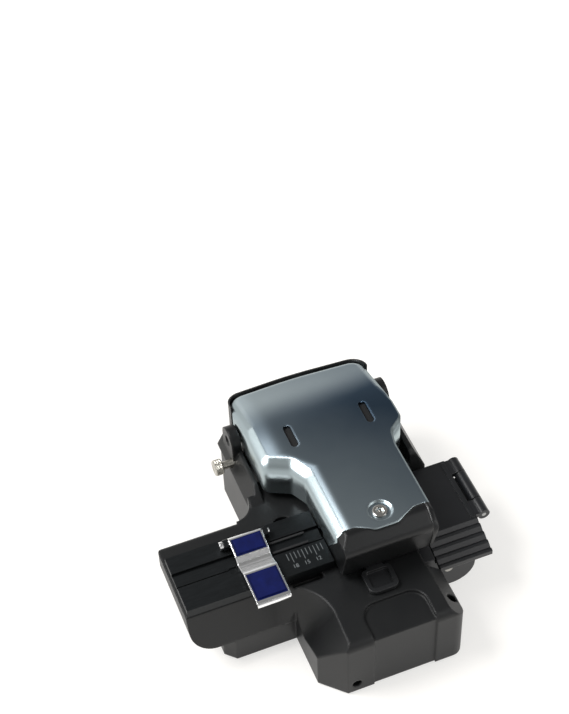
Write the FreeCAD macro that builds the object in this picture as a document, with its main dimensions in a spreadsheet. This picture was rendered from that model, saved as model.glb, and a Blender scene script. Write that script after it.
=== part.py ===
import FreeCAD, Part
import math
import os

import Sketcher
from FreeCAD import Rotation, Vector

# Hand-held optical fibre cleaver, closed.  Millimetres, +Z up, +Y towards the lever's hinge,
# +X along the fibre from the grooved plate to the scrap collector.  The origin is on the
# ground, under the middle of the whole tool.

doc = FreeCAD.newDocument("FibreCleaver")


# ---------------------------------------------------------------- the sheet of sizes

SIZES = {
    # The three references that every other place is measured from.
    "blade_plane": 6.3,         # x of the plane that the blade wheel cuts in
    "fibre_line": -6.9,         # y of the fibre
    "deck_top": 20.0,           # z of the housing's flat deck
    # Housing: reaches to the left and right of the blade plane, front and back of the fibre.
    "foot_gap": 0.6,            # height of the housing's underside above the ground
    "wing_reach": 47.6,
    "wing_front": 9.5,
    "wing_back": 13.2,
    "wing_height": 11.0,        # deck down to the underside of the wing
    "wing_flare": 3.6,          # how far the wing's front wall spreads below the deck
    "wing_bow": 6.5,            # rounding under the wing's left end
    "leg_reach": 39.2,
    "leg_back": 9.2,
    "leg_chamfer": 2.6,
    "leg_inset": 0.3,            # the foot stands back from the wall above it
    "wall_overlap": 0.2,
    "block_left": 20.7,
    "block_front": 32.6,
    "block_right": 16.4,
    "block_chamfer": 5.7,
    "shelf_left": 13.7,         # left edge of the deck in front of the wing
    "shelf_curve": 13.0,         # concave corner between wing and front block
    "sweep_left": 8.5,           # lower end of the swept wall
    "sweep_right": 1.6,
    "sweep_low_curve": 0.35,     # share of the upper curve's radius
    "side_bevel": 4.1,          # slanting face along the front block's right edge
    "deck_round": 2.2,          # rounding of the deck's front edge
    "wing_round": 1.5,          # rounding of the wing's back edge
    "bevel_hole_left": 1.7,     # screw holes in the front block
    "bevel_hole_back": 5.4,
    "bevel_hole_depth": 5.5,
    "low_hole_left": 12.6,
    "low_hole_rise": 3.0,
    "low_hole_depth": 3.0,
    "hole_radius": 1.25,
    "notch_wall": 12.3,         # wall that the collector is screwed to
    "notch_front": 17.5,
    "notch_back": 13.3,
    "rear_left": 21.2,
    "rear_right": 26.2,
    "rear_sweep": 5.0,          # concave corner between wing and left cheek
    "rear_reach": 41.3,
    "edge_round": 2.0,
    "corner_round": 3.0,
    # Thumb scoop and pockets of the deck.
    "scoop_left": 8.0,
    "scoop_right": 8.4,
    "scoop_back": 22.5,
    "scoop_depth": 0.9,
    "scoop_round": 4.0,
    "panel_depth": 0.45,
    "nail_left": 20.6,          # finger pocket in front of the plate
    "nail_right": 12.2,
    "nail_depth": 2.4,
    "nail_front": 1.8,
    "nail_back": 0.6,
    "nail_round": 0.8,
    "relief_radius": 2.9,       # half-round pocket behind the plate
    "relief_offset": 15.7,
    # Lever: hinge place, then reaches about the blade plane and the fibre.
    "hinge_back": 35.6,
    "hinge_rise": 4.2,
    "hinge_pin_radius": 1.5,
    "lever_rise": 15.0,         # deck to the top of the cover
    "lever_gap": 1.6,           # deck to the underside of the lever
    "skirt_lift": 0.8,          # the cover's skirt ends this much above the frame
    "nose_reach": 16.1,
    "nose_tip_rise": 12.2,
    "nose_slope": 4.3,
    "nose_undercut": 2.6,
    "nose_round": 2.0,
    "nose_wall": 5.0,            # solid depth of the nose, from its tip
    "narrow_left": 8.4,
    "narrow_right": 16.1,
    "wide_left": 16.9,
    "wide_right": 21.1,
    "shoulder_start": 9.8,
    "shoulder_turn": 14.2,
    "shoulder_end": 17.4,
    "shoulder_round": 2.0,
    "shoulder_round_back": 2.6,
    "shoulder_spread_left": 2.2,
    "shoulder_spread_right": 0.9,
    "crease_back": 29.3,
    "tail_reach": 45.8,
    "tail_back_left": 0.8,      # the tail's corners stand this much ahead of its middle
    "tail_back_right": 1.5,
    "tail_middle_left": 0.3,
    "tail_bow": 100.0,
    "tail_rim_side": 0.25,
    "tail_rim_drop": 0.3,
    "notch_width_left": 4.6,     # two notches in the cover's back edge
    "notch_width_right": 5.2,
    "notch_deep": 1.5,
    "notch_left": 7.0,
    "notch_right": 10.7,
    "tail_drop": 5.2,
    "tail_rim": 0.6,
    "tail_corner_left": 4.2,
    "tail_corner_right": 4.5,
    "cover_wall": 1.4,
    "cover_bevel": 1.8,
    "cover_bevel_right": 0.6,
    "skirt_front_top": 10.5,     # the left skirt's front edge slants back from here
    "skirt_front_low": 4.4,
    "frame_wall": 1.3,
    "frame_roof": 3.2,
    "wave_front": 12.6,         # the cover's wavy front edge, bulging in the middle
    "wave_side_left": 10.3,
    "wave_side_right": 10.0,
    "wave_turns": 3.0,
    "wave_left": 3.9,
    "wave_bulge_left": 0.7,
    "wave_bulge_right": 6.9,
    "wave_right": 11.9,
    "slot_length": 7.4,
    "slot_width": 2.0,
    "slot_left": 7.4,
    "slot_right": 13.3,
    "slot_back": 22.2,
    "slot_insert_depth": 0.9,
    "cover_screw_right": 3.9,
    "cover_screw_front": 7.9,
    "cover_screw_radius": 1.9,
    "cover_screw_drop": 0.1,
    "dish_radius": 3.0,
    "dish_depth": 0.7,
    "ear_wall": 2.6,
    "ear_gap": 0.6,
    "ear_radius": 3.8,
    "ear_rise_left": 2.6,
    "ear_rise_right": 4.8,
    "lean_start": 2.5,          # below the deck, where the cheeks start to lean inwards
    "lean_left": 2.7,
    "lean_right": 3.2,
    "ramp_start": 2.0,          # front slope of the left cheek
    "ramp_end": 8.0,
    "ramp_round": 3.0,
    "ramp_drop": 0.3,            # the slope starts this far below the deck
    "trough_gap": 1.6,
    "lobe_radius": 9.2,
    "lobe_wall": 2.4,
    # Lock pin beside the hinge.
    "lock_radius": 1.1,
    "lock_front": 3.3,
    "lock_drop": 5.2,
    "lock_travel": 1.6,
    "lock_bite": 0.6,
    "knob_radius": 2.15,
    "knob_length": 2.3,
    "neck_length": 1.9,
    # Fibre plate and its channel.
    "plate_rise": 2.85,
    "plate_back": 7.3,
    "plate_front": 9.4,
    "plate_gap": 0.3,
    "plate_inset": 0.5,
    "channel_half": 2.25,
    "channel_depth": 0.5,
    "groove_width": 0.6,
    "groove_depth": 0.45,
    "stop_left": 33.5,          # square notch at the channel's front groove
    "stop_side": 2.0,
    "stop_depth": 0.9,
    # Clip over the plate.
    "clip_left": 31.2,
    "clip_right": 22.5,
    "clip_sheet": 0.6,
    "clip_hinge_back": 4.5,
    "clip_hinge_rise": 1.45,
    "clip_pin_radius": 0.7,
    "clip_pin_head": 1.05,
    "clip_eye_radius": 1.25,
    "clip_reach": 15.0,
    "clip_clear": 0.05,
    "clip_crease": 0.4,         # in front of the fibre, where the strip turns down
    "clip_crease_round": 1.2,
    "clip_fall": 0.85,          # the strip falls this much from the eye to the crease
    "clip_foot": 1.7,           # in front of the fibre, where the strip bears down
    "clip_foot_front": 2.4,
    "clip_foot_round": 0.8,
    "clip_sheet_turn": 0.6,      # the underside turns this many sheets further on
    "clip_lip_radius": 0.9,
    "clip_lug": 1.2,
    "panel_inset": 0.9,
    "panel_back_gap": 0.6,
    "panel_front_gap": 0.9,
    "panel_thick": 0.3,
    "clip_magnet_radius": 2.0,
    "clip_magnet_depth": 1.5,
    # Blade carriage, wheel and guide rods.
    "wheel_radius": 8.0,
    "wheel_thick": 1.2,
    "wheel_bevel": 0.8,
    "wheel_hub": 2.0,
    "wheel_lift": 2.5,          # top of the wheel above the deck
    "wheel_rest": 5.0,          # wheel's centre in front of the fibre at rest
    "wheel_room": 0.4,
    "carriage_travel": 10.0,
    "carriage_half": 9.6,
    "carriage_side": 3.9,
    "stem_side": 2.2,
    "tab_reach": 21.0,
    "tab_length": 7.0,
    "tab_thick": 1.1,
    "tab_lift": 0.25,
    "tab_dish": 0.7,
    "tab_rim": 1.1,
    "tab_rim_back": 0.77,
    "tab_rim_front": 1.32,
    "tab_round": 1.8,
    "tab_round_back": 1.0,
    "dish_round": 0.7,
    "rod_radius": 0.8,
    "rod_side": 2.7,
    "rod_rise": 8.2,
    "rod_seat": 2.0,
    "slide_gap": 0.3,
    "bar_depth": 3.4,           # thickness of the deck over the carriage's cavity
    "running_gap": 0.05,
    # Clamps each side of the blade.
    "clamp_inner": 2.6,
    "clamp_width": 2.8,
    "clamp_length": 7.0,
    "clamp_pad": 0.8,
    "pad_gap": 0.3,
    "anvil_width": 2.4,
    "anvil_length": 3.0,
    "anvil_gap": 1.0,
    "hanger_rise": 7.2,
    "post_inset": 2.2,
    "hanger_thick": 1.4,
    "hanger_length": 12.0,
    "hanger_post": 1.6,
    "spring_radius": 2.2,
    "spring_wire": 0.9,
    "coil_pitch": 1.02,          # wires from one coil to the next
    "spring_turns": 6,
    # Collector at the right.
    "bin_front": 14.4,
    "bin_back": 12.3,
    "bin_right": 28.1,
    "bin_top": 3.6,             # deck down to the rim
    "bin_depth": 13.0,
    "bin_wall": 1.2,
    "bin_round": 6.0,
    "bin_lean": 0.8,
    "bin_screw_drop": 5.2,
    "lid_left": 16.6,
    "lid_right": 31.0,
    "lid_thick": 1.4,
    "lid_front": 17.0,
    "lid_grip": 9.0,
    "lid_border": 1.1,          # raised border beside the hinge
    "lid_border_rise": 0.35,
    "lid_border_inset": 0.3,
    "arm_thick": 2.2,
    "ledge_width": 4.0,         # fixed ledge of the bin beside the lid
    "ledge_thick": 2.0,
    "ledge_drop": 1.82,          # the ledge's front end falls with the lid
    "front_screw_left": 7.8,
    "front_screw_rise": 7.5,
    "front_screw_radius": 1.1,
    "grip_drop": 2.6,
    "grip_rib": 0.45,
    "lid_hinge_right": 33.4,
    "lid_hinge_drop": 3.0,
    "lid_hinge_radius": 1.6,
    "lid_pin_radius": 0.6,
    "knuckle_length": 4.6,
    "barrel_front": 7.0,
    "barrel_back": 11.8,
    "hinge_gap": 0.25,
    # Underside.
    "floor_thick": 1.2,
    "floor_margin": 3.0,
    "pad_radius": 2.6,
    "pad_height": 1.2,
    "small_screw_radius": 0.9,
    "small_head_radius": 1.4,
    "small_head_height": 0.8,
    "screw_bite": 3.0,
    "pad_edge": 1.2,
    "clip_rise_front": 2.1,
    "clip_rib_pitch": 0.9,
    "clip_pin_end": 1.0,
    "axle_inset": 0.4,
    "fibre_pass": 1.2,
    "pin_recess": 0.5,
}


class Size:
    """A number that also carries the sheet formula it was worked out with."""

    def __init__(self, value, text):
        self.value = value
        self.text = text

    def __add__(self, other):
        other = as_size(other)
        return Size(self.value + other.value, f"({self.text} + {other.text})")

    def __radd__(self, other):
        return as_size(other) + self

    def __sub__(self, other):
        other = as_size(other)
        return Size(self.value - other.value, f"({self.text} - {other.text})")

    def __rsub__(self, other):
        return as_size(other) - self

    def __mul__(self, other):
        other = as_size(other)
        return Size(self.value * other.value, f"({self.text} * {other.text})")

    def __rmul__(self, other):
        return as_size(other) * self

    def __truediv__(self, other):
        other = as_size(other)
        return Size(self.value / other.value, f"({self.text} / {other.text})")

    def __neg__(self):
        return Size(-self.value, f"(-1 * {self.text})")


def as_size(number):
    if isinstance(number, Size):
        return number
    return Size(float(number), f"{float(number):.6f}")


def root(size):
    return Size(math.sqrt(size.value), f"sqrt({size.text})")


def make_sheet(table):
    """Put every size in a cell of its own and give back the cells as Size values."""
    sheet = doc.addObject("Spreadsheet::Sheet", "sizes")
    cells = {}
    for row, (name, value) in enumerate(table.items(), start=1):
        sheet.set(f"A{row}", name)
        sheet.set(f"B{row}", str(value))
        sheet.setAlias(f"B{row}", name)
        cells[name] = Size(float(value), f"sizes.{name}")
    doc.recompute()
    return cells


class Cells:
    """The sheet's cells by name: dim.deck_top is the cell called deck_top."""

    def __init__(self, table):
        self.__dict__.update(make_sheet(table))


dim = Cells(SIZES)


# ---------------------------------------------------------------- modelling helpers

def bind(obj, path, size):
    obj.setExpression(path, as_size(size).text)


def middle(low, high):
    return (low + high) / 2


def new_body(name):
    return doc.addObject("PartDesign::Body", name)


def new_sketch(body, plane, height):
    """A sketch on an origin plane of its body, moved out to a height along the world axis."""
    sketch = body.newObject("Sketcher::SketchObject", body.Name + "_sketch")
    for feature in body.Origin.OriginFeatures:
        if feature.Role == plane + "_Plane":
            sketch.AttachmentSupport = [(feature, "")]
    sketch.MapMode = "FlatFace"
    height = as_size(height)
    bind(sketch, "AttachmentOffset.Base.z", -height if plane == "XZ" else height)
    return sketch


def pin_point(sketch, constraints, bindings, geometry, vertex, x, y):
    """Tie one point of a sketch to two formulas."""
    for kind, size in (("DistanceX", as_size(x)), ("DistanceY", as_size(y))):
        bindings.append((len(constraints), size))
        constraints.append(Sketcher.Constraint(kind, geometry, vertex, size.value))


def apply_constraints(sketch, constraints, bindings):
    first = sketch.ConstraintCount
    sketch.addConstraint(constraints)
    for place, size in bindings:
        sketch.renameConstraint(first + place, f"size{first + place}")
        bind(sketch, f"Constraints.size{first + place}", size)


def draw_outline(sketch, corners):
    """A closed outline of straight sides.  A corner is (x, y), or (x, y, radius) if rounded."""
    count = len(corners)
    points = [Vector(as_size(c[0]).value, as_size(c[1]).value, 0) for c in corners]
    arrive, leave, arcs = [], [], {}
    for i, corner in enumerate(corners):
        if len(corner) == 2:
            arrive.append(points[i])
            leave.append(points[i])
            continue
        radius = as_size(corner[2]).value
        before = (points[i] - points[i - 1]).normalize()
        after = (points[(i + 1) % count] - points[i]).normalize()
        turn = math.atan2(before.cross(after).z, before.dot(after))
        reach = radius * math.tan(abs(turn) / 2)
        arrive.append(points[i] - before * reach)
        leave.append(points[i] + after * reach)
        side = 1 if turn > 0 else -1
        centre = arrive[i] + Vector(-before.y, before.x, 0) * radius * side
        ends = (arrive[i], leave[i]) if turn > 0 else (leave[i], arrive[i])
        angles = [math.atan2(end.y - centre.y, end.x - centre.x) for end in ends]
        circle = Part.Circle(centre, Vector(0, 0, 1), radius)
        arcs[i] = (Part.ArcOfCircle(circle, angles[0], angles[1]), side)
    first = sketch.GeometryCount
    lines = [Part.LineSegment(leave[i], arrive[(i + 1) % count]) for i in range(count)]
    sketch.addGeometry(lines, False)
    constraints, bindings = [], []
    for i, corner in enumerate(corners):
        line, previous = first + i, first + (i - 1) % count
        if i not in arcs:
            constraints.append(Sketcher.Constraint("Coincident", previous, 2, line, 1))
            pin_point(sketch, constraints, bindings, line, 1, corner[0], corner[1])
            continue
        arc_shape, side = arcs[i]
        arc = sketch.addGeometry(arc_shape, False)
        vertex = sketch.addGeometry(Part.Point(points[i]), True)
        start, end = (1, 2) if side > 0 else (2, 1)
        constraints.append(Sketcher.Constraint("Tangent", previous, 2, arc, start))
        constraints.append(Sketcher.Constraint("Tangent", arc, end, line, 1))
        constraints.append(Sketcher.Constraint("PointOnObject", vertex, 1, previous))
        constraints.append(Sketcher.Constraint("PointOnObject", vertex, 1, line))
        pin_point(sketch, constraints, bindings, vertex, 1, corner[0], corner[1])
        bindings.append((len(constraints), as_size(corner[2])))
        constraints.append(Sketcher.Constraint("Radius", arc, as_size(corner[2]).value))
    apply_constraints(sketch, constraints, bindings)


def draw_circle(sketch, x, y, radius):
    radius = as_size(radius)
    centre = Vector(as_size(x).value, as_size(y).value, 0)
    ring = sketch.addGeometry(Part.Circle(centre, Vector(0, 0, 1), radius.value), False)
    constraints, bindings = [], []
    pin_point(sketch, constraints, bindings, ring, 3, x, y)
    bindings.append((len(constraints), radius))
    constraints.append(Sketcher.Constraint("Radius", ring, radius.value))
    apply_constraints(sketch, constraints, bindings)


def rectangle(x, y, radius=None):
    """Corners of a rectangle between two (low, high) pairs, rounded if a radius is given."""
    corners = [(x[0], y[0]), (x[1], y[0]), (x[1], y[1]), (x[0], y[1])]
    if radius is None:
        return corners
    return [corner + (radius,) for corner in corners]


def solid_step(body, kind, plane, span, outlines, circles, adds):
    """Add or remove what the outlines sweep between two heights along the plane's axis."""
    low, high = span
    starts_low = adds if plane != "XZ" else not adds
    sketch = new_sketch(body, plane, low if starts_low else high)
    for corners in outlines:
        draw_outline(sketch, corners)
    for x, y, radius in circles:
        draw_circle(sketch, x, y, radius)
    before = body.Shape.Volume if body.Tip else 0.0
    step = body.newObject(kind, body.Name + ("_pad" if adds else "_pocket"))
    step.Profile = sketch
    bind(step, "Length", high - low)
    doc.recompute()
    change = body.Shape.Volume - before
    if (change <= 0) if adds else (change >= 0):
        raise RuntimeError(f"{step.Name} changed nothing in {body.Name}")
    return step


def pad(body, plane, span, *outlines, circles=()):
    return solid_step(body, "PartDesign::Pad", plane, span, outlines, circles, True)


def pocket(body, plane, span, *outlines, circles=()):
    return solid_step(body, "PartDesign::Pocket", plane, span, outlines, circles, False)


def dress(body, kind, amount, chosen):
    """Round or bevel the edges of the body that the chosen test accepts."""
    names = []
    for number, edge in enumerate(body.Shape.Edges, start=1):
        if chosen(edge):
            names.append(f"Edge{number}")
    if not names:
        raise RuntimeError(f"no edge to dress on {body.Name}")
    base = body.Tip
    step = body.newObject("PartDesign::" + kind, f"{body.Name}_{kind.lower()}")
    step.Base = (base, names)
    bind(step, "Radius" if kind == "Fillet" else "Size", amount)
    doc.recompute()
    return step


def near(value, size):
    return abs(value - as_size(size).value) < 0.02


def edge_box(edge):
    return edge.BoundBox


def block(name, x, y, z):
    """A box between three (low, high) pairs."""
    box = doc.addObject("Part::Box", name)
    for side, pair in zip(("Length", "Width", "Height"), (x, y, z)):
        bind(box, side, pair[1] - pair[0])
    for axis, pair in zip("xyz", (x, y, z)):
        bind(box, "Placement.Base." + axis, pair[0])
    return box


TURNS = {
    "X": Rotation(Vector(0, 1, 0), 90),
    "Y": Rotation(Vector(1, 0, 0), -90),
    "Z": Rotation(),
}


def along(axis, start, across):
    """Where a piece on an axis starts: its start, and its other two coordinates in order."""
    first, second = across
    return {
        "X": (start, first, second),
        "Y": (first, start, second),
        "Z": (first, second, start),
    }[axis]


def rod(name, axis, span, across, radius):
    """A cylinder along an axis between two heights."""
    made = doc.addObject("Part::Cylinder", name)
    bind(made, "Radius", radius)
    bind(made, "Height", span[1] - span[0])
    made.Placement.Rotation = TURNS[axis]
    for letter, place in zip("xyz", along(axis, span[0], across)):
        bind(made, "Placement.Base." + letter, place)
    return made


def cone(name, axis, span, across, low_radius, high_radius):
    made = doc.addObject("Part::Cone", name)
    bind(made, "Radius1", low_radius)
    bind(made, "Radius2", high_radius)
    bind(made, "Height", span[1] - span[0])
    made.Placement.Rotation = TURNS[axis]
    for letter, place in zip("xyz", along(axis, span[0], across)):
        bind(made, "Placement.Base." + letter, place)
    return made


def fuse(name, *pieces):
    made = doc.addObject("Part::MultiFuse", name)
    made.Shapes = list(pieces)
    return made


def cut(name, base, *tools):
    made = doc.addObject("Part::Cut", name)
    made.Base = base
    made.Tool = tools[0] if len(tools) == 1 else fuse(name + "_tools", *tools)
    return made


def group(name, *pieces):
    """Equal pieces that share one sub-part, each a solid of its own."""
    made = doc.addObject("Part::Compound", name)
    made.Links = list(pieces)
    return made


sub_parts = []


def sub_part(obj, label):
    obj.Label = label
    sub_parts.append(obj)
    return obj


# ---------------------------------------------------------------- shared places

blade = dim.blade_plane
fibre = dim.fibre_line
deck = dim.deck_top
ground_gap = dim.foot_gap

wing_left = blade - dim.wing_reach
wing_front = fibre - dim.wing_front
wing_back = fibre + dim.wing_back
wing_under = deck - dim.wing_height
block_left = blade - dim.block_left
block_front = fibre - dim.block_front
block_right = blade + dim.block_right
notch_wall = blade + dim.notch_wall
notch_front = fibre - dim.notch_front
notch_back = fibre + dim.notch_back
rear_left = blade - dim.rear_left
rear_right = blade + dim.rear_right
rear_end = fibre + dim.rear_reach

hinge_y = fibre + dim.hinge_back
hinge_z = deck + dim.hinge_rise
lever_top = deck + dim.lever_rise
lever_low = deck + dim.lever_gap
skirt_low = lever_low + dim.skirt_lift
narrow = (blade - dim.narrow_left, blade + dim.narrow_right)
wide = (blade - dim.wide_left, blade + dim.wide_right)
nose_tip = fibre - dim.nose_reach
nose_tip_z = deck + dim.nose_tip_rise
tail = fibre + dim.tail_reach
tail_left = tail - dim.tail_back_left
tail_right = tail - dim.tail_back_right
tail_top = lever_top - dim.tail_drop
crease = fibre + dim.crease_back
trough = root((tail - hinge_y) * (tail - hinge_y) + (tail_top - hinge_z) * (tail_top - hinge_z))
trough = trough + dim.trough_gap
left_ear = (wide[0] - dim.ear_gap - dim.ear_wall, wide[0] - dim.ear_gap)
right_ear = (wide[1] + dim.ear_gap, wide[1] + dim.ear_gap + dim.ear_wall)
lock_y = hinge_y - dim.lock_front
lock_z = hinge_z - dim.lock_drop

plate_top = deck + dim.plate_rise
plate_left = wing_left + dim.plate_inset
plate_right = narrow[0] - dim.plate_gap
plate_y = (fibre - dim.plate_front, fibre + dim.plate_back)

wheel_y = fibre - dim.wheel_rest
wheel_z = deck + dim.wheel_lift - dim.wheel_radius
carriage_y = (wheel_y - dim.carriage_half, wheel_y + dim.carriage_half)
well_y = (carriage_y[0] - dim.slide_gap, carriage_y[1] + dim.carriage_travel + dim.slide_gap)
floor_top = ground_gap + dim.floor_thick
cavity_low = floor_top + dim.slide_gap
rod_z = ground_gap + dim.rod_rise
tab_low = deck + dim.tab_lift
tab_top = tab_low + dim.tab_thick

clip_x = (blade - dim.clip_left, blade - dim.clip_right)
clip_hinge_y = fibre + dim.clip_hinge_back
clip_hinge_z = plate_top + dim.clip_hinge_rise

bin_x = (notch_wall, blade + dim.bin_right)
bin_y = (fibre - dim.bin_front, fibre + dim.bin_back)
bin_top = deck - dim.bin_top
bin_low = bin_top - dim.bin_depth
lid_x = (blade + dim.lid_left, blade + dim.lid_right)
lid_y = (fibre - dim.lid_front, fibre + dim.bin_back)
lid_low = bin_top + dim.hinge_gap
lid_top = lid_low + dim.lid_thick
lid_hinge_x = blade + dim.lid_hinge_right
lid_hinge_z = deck - dim.lid_hinge_drop
barrel_y = (fibre - dim.barrel_front, fibre + dim.barrel_back)


# ---------------------------------------------------------------- base housing

def base_housing():
    """The moulded base: wing and front block, rear cheeks with ears, trough, well and pockets."""
    body = new_body("base_housing")
    leg_left = blade - dim.leg_reach
    leg_back = fibre + dim.leg_back
    chamfer = dim.block_chamfer
    foot = [
        (block_left, block_front + chamfer),
        (block_left + chamfer, block_front),
        (block_right, block_front, dim.corner_round),
        (block_right, notch_front),
        (notch_wall, notch_front),
        (notch_wall, notch_back),
        (rear_right, notch_back),
        (rear_right, rear_end, dim.corner_round),
        (rear_left, rear_end, dim.corner_round),
        (rear_left, leg_back, dim.leg_chamfer),
        (leg_left, leg_back, dim.leg_chamfer),
        (leg_left, wing_front - dim.wing_flare + dim.leg_chamfer + dim.leg_inset),
        (leg_left + dim.leg_chamfer, wing_front - dim.wing_flare + dim.leg_inset),
        (block_left, wing_front - dim.wing_flare + dim.leg_inset),
    ]
    pad(body, "XY", (ground_gap, wing_under), foot)
    flared = wing_front - dim.wing_flare - dim.wall_overlap
    upper = [
        (block_left, block_front + chamfer),
        (block_left + chamfer, block_front),
        (block_right, block_front, dim.corner_round),
        (block_right, notch_front),
        (notch_wall, notch_front),
        (notch_wall, notch_back),
        (rear_right, notch_back),
        (rear_right, rear_end, dim.corner_round),
        (rear_left, rear_end, dim.corner_round),
        (rear_left, wing_back, dim.rear_sweep),
        (wing_left, wing_back, dim.edge_round),
        (wing_left, flared, dim.edge_round),
        (block_left, flared),
    ]
    pad(body, "XY", (wing_under, deck), upper)
    base_edges(body)
    base_wing_walls(body)
    base_cheeks(body)
    base_pockets(body)
    return sub_part(body, "base_housing")


def base_edges(body):
    """Rounded front and wing edges of the deck, and the slanting face on the right."""
    front = dim.deck_round
    pocket(body, "YZ", (block_left - 1, block_right + 1), [
        (block_front - 1, deck - front),
        (block_front, deck - front),
        (block_front, deck, front - 0.01),
        (block_front + front, deck),
        (block_front + front, deck + 1),
        (block_front - 1, deck + 1),
    ])
    rear = dim.wing_round
    pocket(body, "YZ", (wing_left - 1, rear_left - dim.rear_sweep), [
        (wing_back + 1, deck - rear),
        (wing_back + 1, deck + 1),
        (wing_back - rear, deck + 1),
        (wing_back - rear, deck),
        (wing_back, deck, rear - 0.01),
        (wing_back, deck - rear),
    ])
    slant = dim.side_bevel
    pocket(body, "XZ", (block_front - 1, notch_front + 1), [
        (block_right - slant, deck),
        (block_right, deck - slant),
        (block_right + 1, deck - slant),
        (block_right + 1, deck + 1),
        (block_right - slant, deck + 1),
    ])


def base_wing_walls(body):
    """The front wall that leans out below the deck and sweeps round into the front block."""
    shelf = blade - dim.shelf_left
    outside = (wing_left - 10, block_front - 10)
    above = 1.0
    below = 1.0
    lean = dim.wing_flare / dim.wing_height
    top = new_sketch(body, "XY", deck + above)
    draw_outline(top, [
        outside,
        (shelf + 0.5, outside[1]),
        (shelf + 0.5, wing_front + lean * above, dim.shelf_curve),
        (outside[0], wing_front + lean * above),
    ])
    low = new_sketch(body, "XY", wing_under - below)
    draw_outline(low, [
        outside,
        (block_left - dim.sweep_left, outside[1]),
        (block_left + dim.sweep_right, wing_front - dim.wing_flare - lean * below,
         dim.shelf_curve * dim.sweep_low_curve),
        (outside[0], wing_front - dim.wing_flare - lean * below),
    ])
    sweep = body.newObject("PartDesign::SubtractiveLoft", "wall_sweep")
    sweep.Profile = top
    sweep.Sections = [low]
    doc.recompute()
    bow_x = wing_left + dim.wing_bow
    bow_z = wing_under + dim.wing_bow
    pocket(body, "XZ", (wing_front - 10, wing_back + 1), [
        (wing_left - 1, wing_under - 1),
        (bow_x, wing_under - 1),
        (bow_x, wing_under),
        (wing_left, wing_under, dim.wing_bow - 0.01),
        (wing_left, bow_z),
        (wing_left - 1, bow_z),
    ])


def base_cheeks(body):
    """Two rear cheeks that lean in towards the lever, and the two ears of its hinge."""
    ear_low = deck - 3
    crest_left = deck + dim.ear_rise_left
    crest_right = deck + dim.ear_rise_right
    pad(body, "YZ", (rear_left, left_ear[1]), [
        (wing_back + 1, ear_low),
        (rear_end, ear_low),
        (rear_end, crest_left, dim.edge_round),
        (wing_back + dim.ramp_end, crest_left, dim.ramp_round),
        (wing_back + dim.ramp_start, deck - dim.ramp_drop, dim.ramp_round),
        (wing_back + 1, deck - dim.ramp_drop),
    ])
    pad(body, "YZ", (right_ear[0], rear_right), [
        (notch_back, ear_low),
        (rear_end, ear_low),
        (rear_end, crest_right, dim.edge_round),
        (notch_back, crest_right, dim.edge_round),
    ])
    lean_low = deck - dim.lean_start
    pocket(body, "XZ", (wing_back + dim.rear_sweep + 0.2, rear_end + 1), [
        (rear_left, lean_low),
        (rear_left + dim.lean_left, crest_left),
        (rear_left + dim.lean_left, crest_left + 1),
        (rear_left, crest_left + 1),
    ])
    pocket(body, "XZ", (notch_back - 1, rear_end + 1), [
        (rear_right, lean_low),
        (rear_right, crest_right + 1),
        (rear_right - dim.lean_right, crest_right + 1),
        (rear_right - dim.lean_right, crest_right),
    ])
    ear_top = hinge_z + dim.ear_radius
    for span in (left_ear, right_ear):
        pad(body, "YZ", span, [
            (hinge_y - dim.ear_radius, ear_low),
            (hinge_y + dim.ear_radius, ear_low),
            (hinge_y + dim.ear_radius, ear_top, dim.ear_radius - 0.01),
            (hinge_y - dim.ear_radius, ear_top, dim.ear_radius - 0.01),
        ])
    pocket(body, "YZ", (left_ear[1], right_ear[0]), circles=[(hinge_y, hinge_z, trough)])


def base_pockets(body):
    """Everything cut into the housing from above, from below and from the sides."""
    slot = dim.stem_side + dim.slide_gap
    cavity = dim.carriage_side + dim.slide_gap
    bar_low = deck - dim.bar_depth
    pocket(body, "XY", (ground_gap, bar_low), rectangle((blade - cavity, blade + cavity), well_y))
    pocket(body, "XY", (bar_low, deck), rectangle((blade - slot, blade + slot), well_y))
    rods = [(blade + side * dim.rod_side, rod_z, dim.rod_radius) for side in (-1, 1)]
    ends = (well_y[0] - dim.rod_seat, well_y[1] + dim.rod_seat)
    pocket(body, "XZ", ends, circles=rods)
    scoop = [
        (blade - dim.scoop_left, block_front - 1),
        (blade + dim.scoop_right, block_front - 1),
        (blade + dim.scoop_right, fibre - dim.scoop_back, dim.scoop_round),
        (blade - dim.scoop_left, fibre - dim.scoop_back, dim.scoop_round),
    ]
    pocket(body, "XY", (deck - dim.scoop_depth, deck), scoop)
    panel_y = (block_front - 1, block_front + dim.panel_depth)
    front = rectangle((blade - dim.scoop_left, blade + dim.scoop_right), panel_y)
    pocket(body, "XY", (ground_gap, deck), front)
    nail_y = (plate_y[0] - dim.nail_front, plate_y[0] + dim.nail_back)
    nail_x = (blade - dim.nail_left, blade - dim.nail_right)
    pocket(body, "XY", (deck - dim.nail_depth, deck), rectangle(nail_x, nail_y, dim.nail_round))
    pocket(body, "XY", (deck - dim.nail_depth, deck), circles=[
        (blade - dim.relief_offset, plate_y[1], dim.relief_radius)])
    pocket(body, "YZ", (left_ear[0] - 5, right_ear[1] + 5), circles=[
        (hinge_y, hinge_z, dim.hinge_pin_radius)])
    pocket(body, "YZ", (rear_left - 1, left_ear[1] + 1), circles=[
        (lock_y, lock_z, dim.lock_radius + dim.running_gap)])
    bevel_hole = (block_right - dim.bevel_hole_left, block_front + dim.bevel_hole_back)
    pocket(body, "XY", (deck - dim.bevel_hole_depth, deck), circles=[
        bevel_hole + (dim.hole_radius,)])
    low_hole = (blade - dim.low_hole_left, ground_gap + dim.low_hole_rise)
    pocket(body, "XZ", (block_front - 1, block_front + dim.low_hole_depth), circles=[
        low_hole + (dim.hole_radius,)])


# ---------------------------------------------------------------- underside

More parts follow.
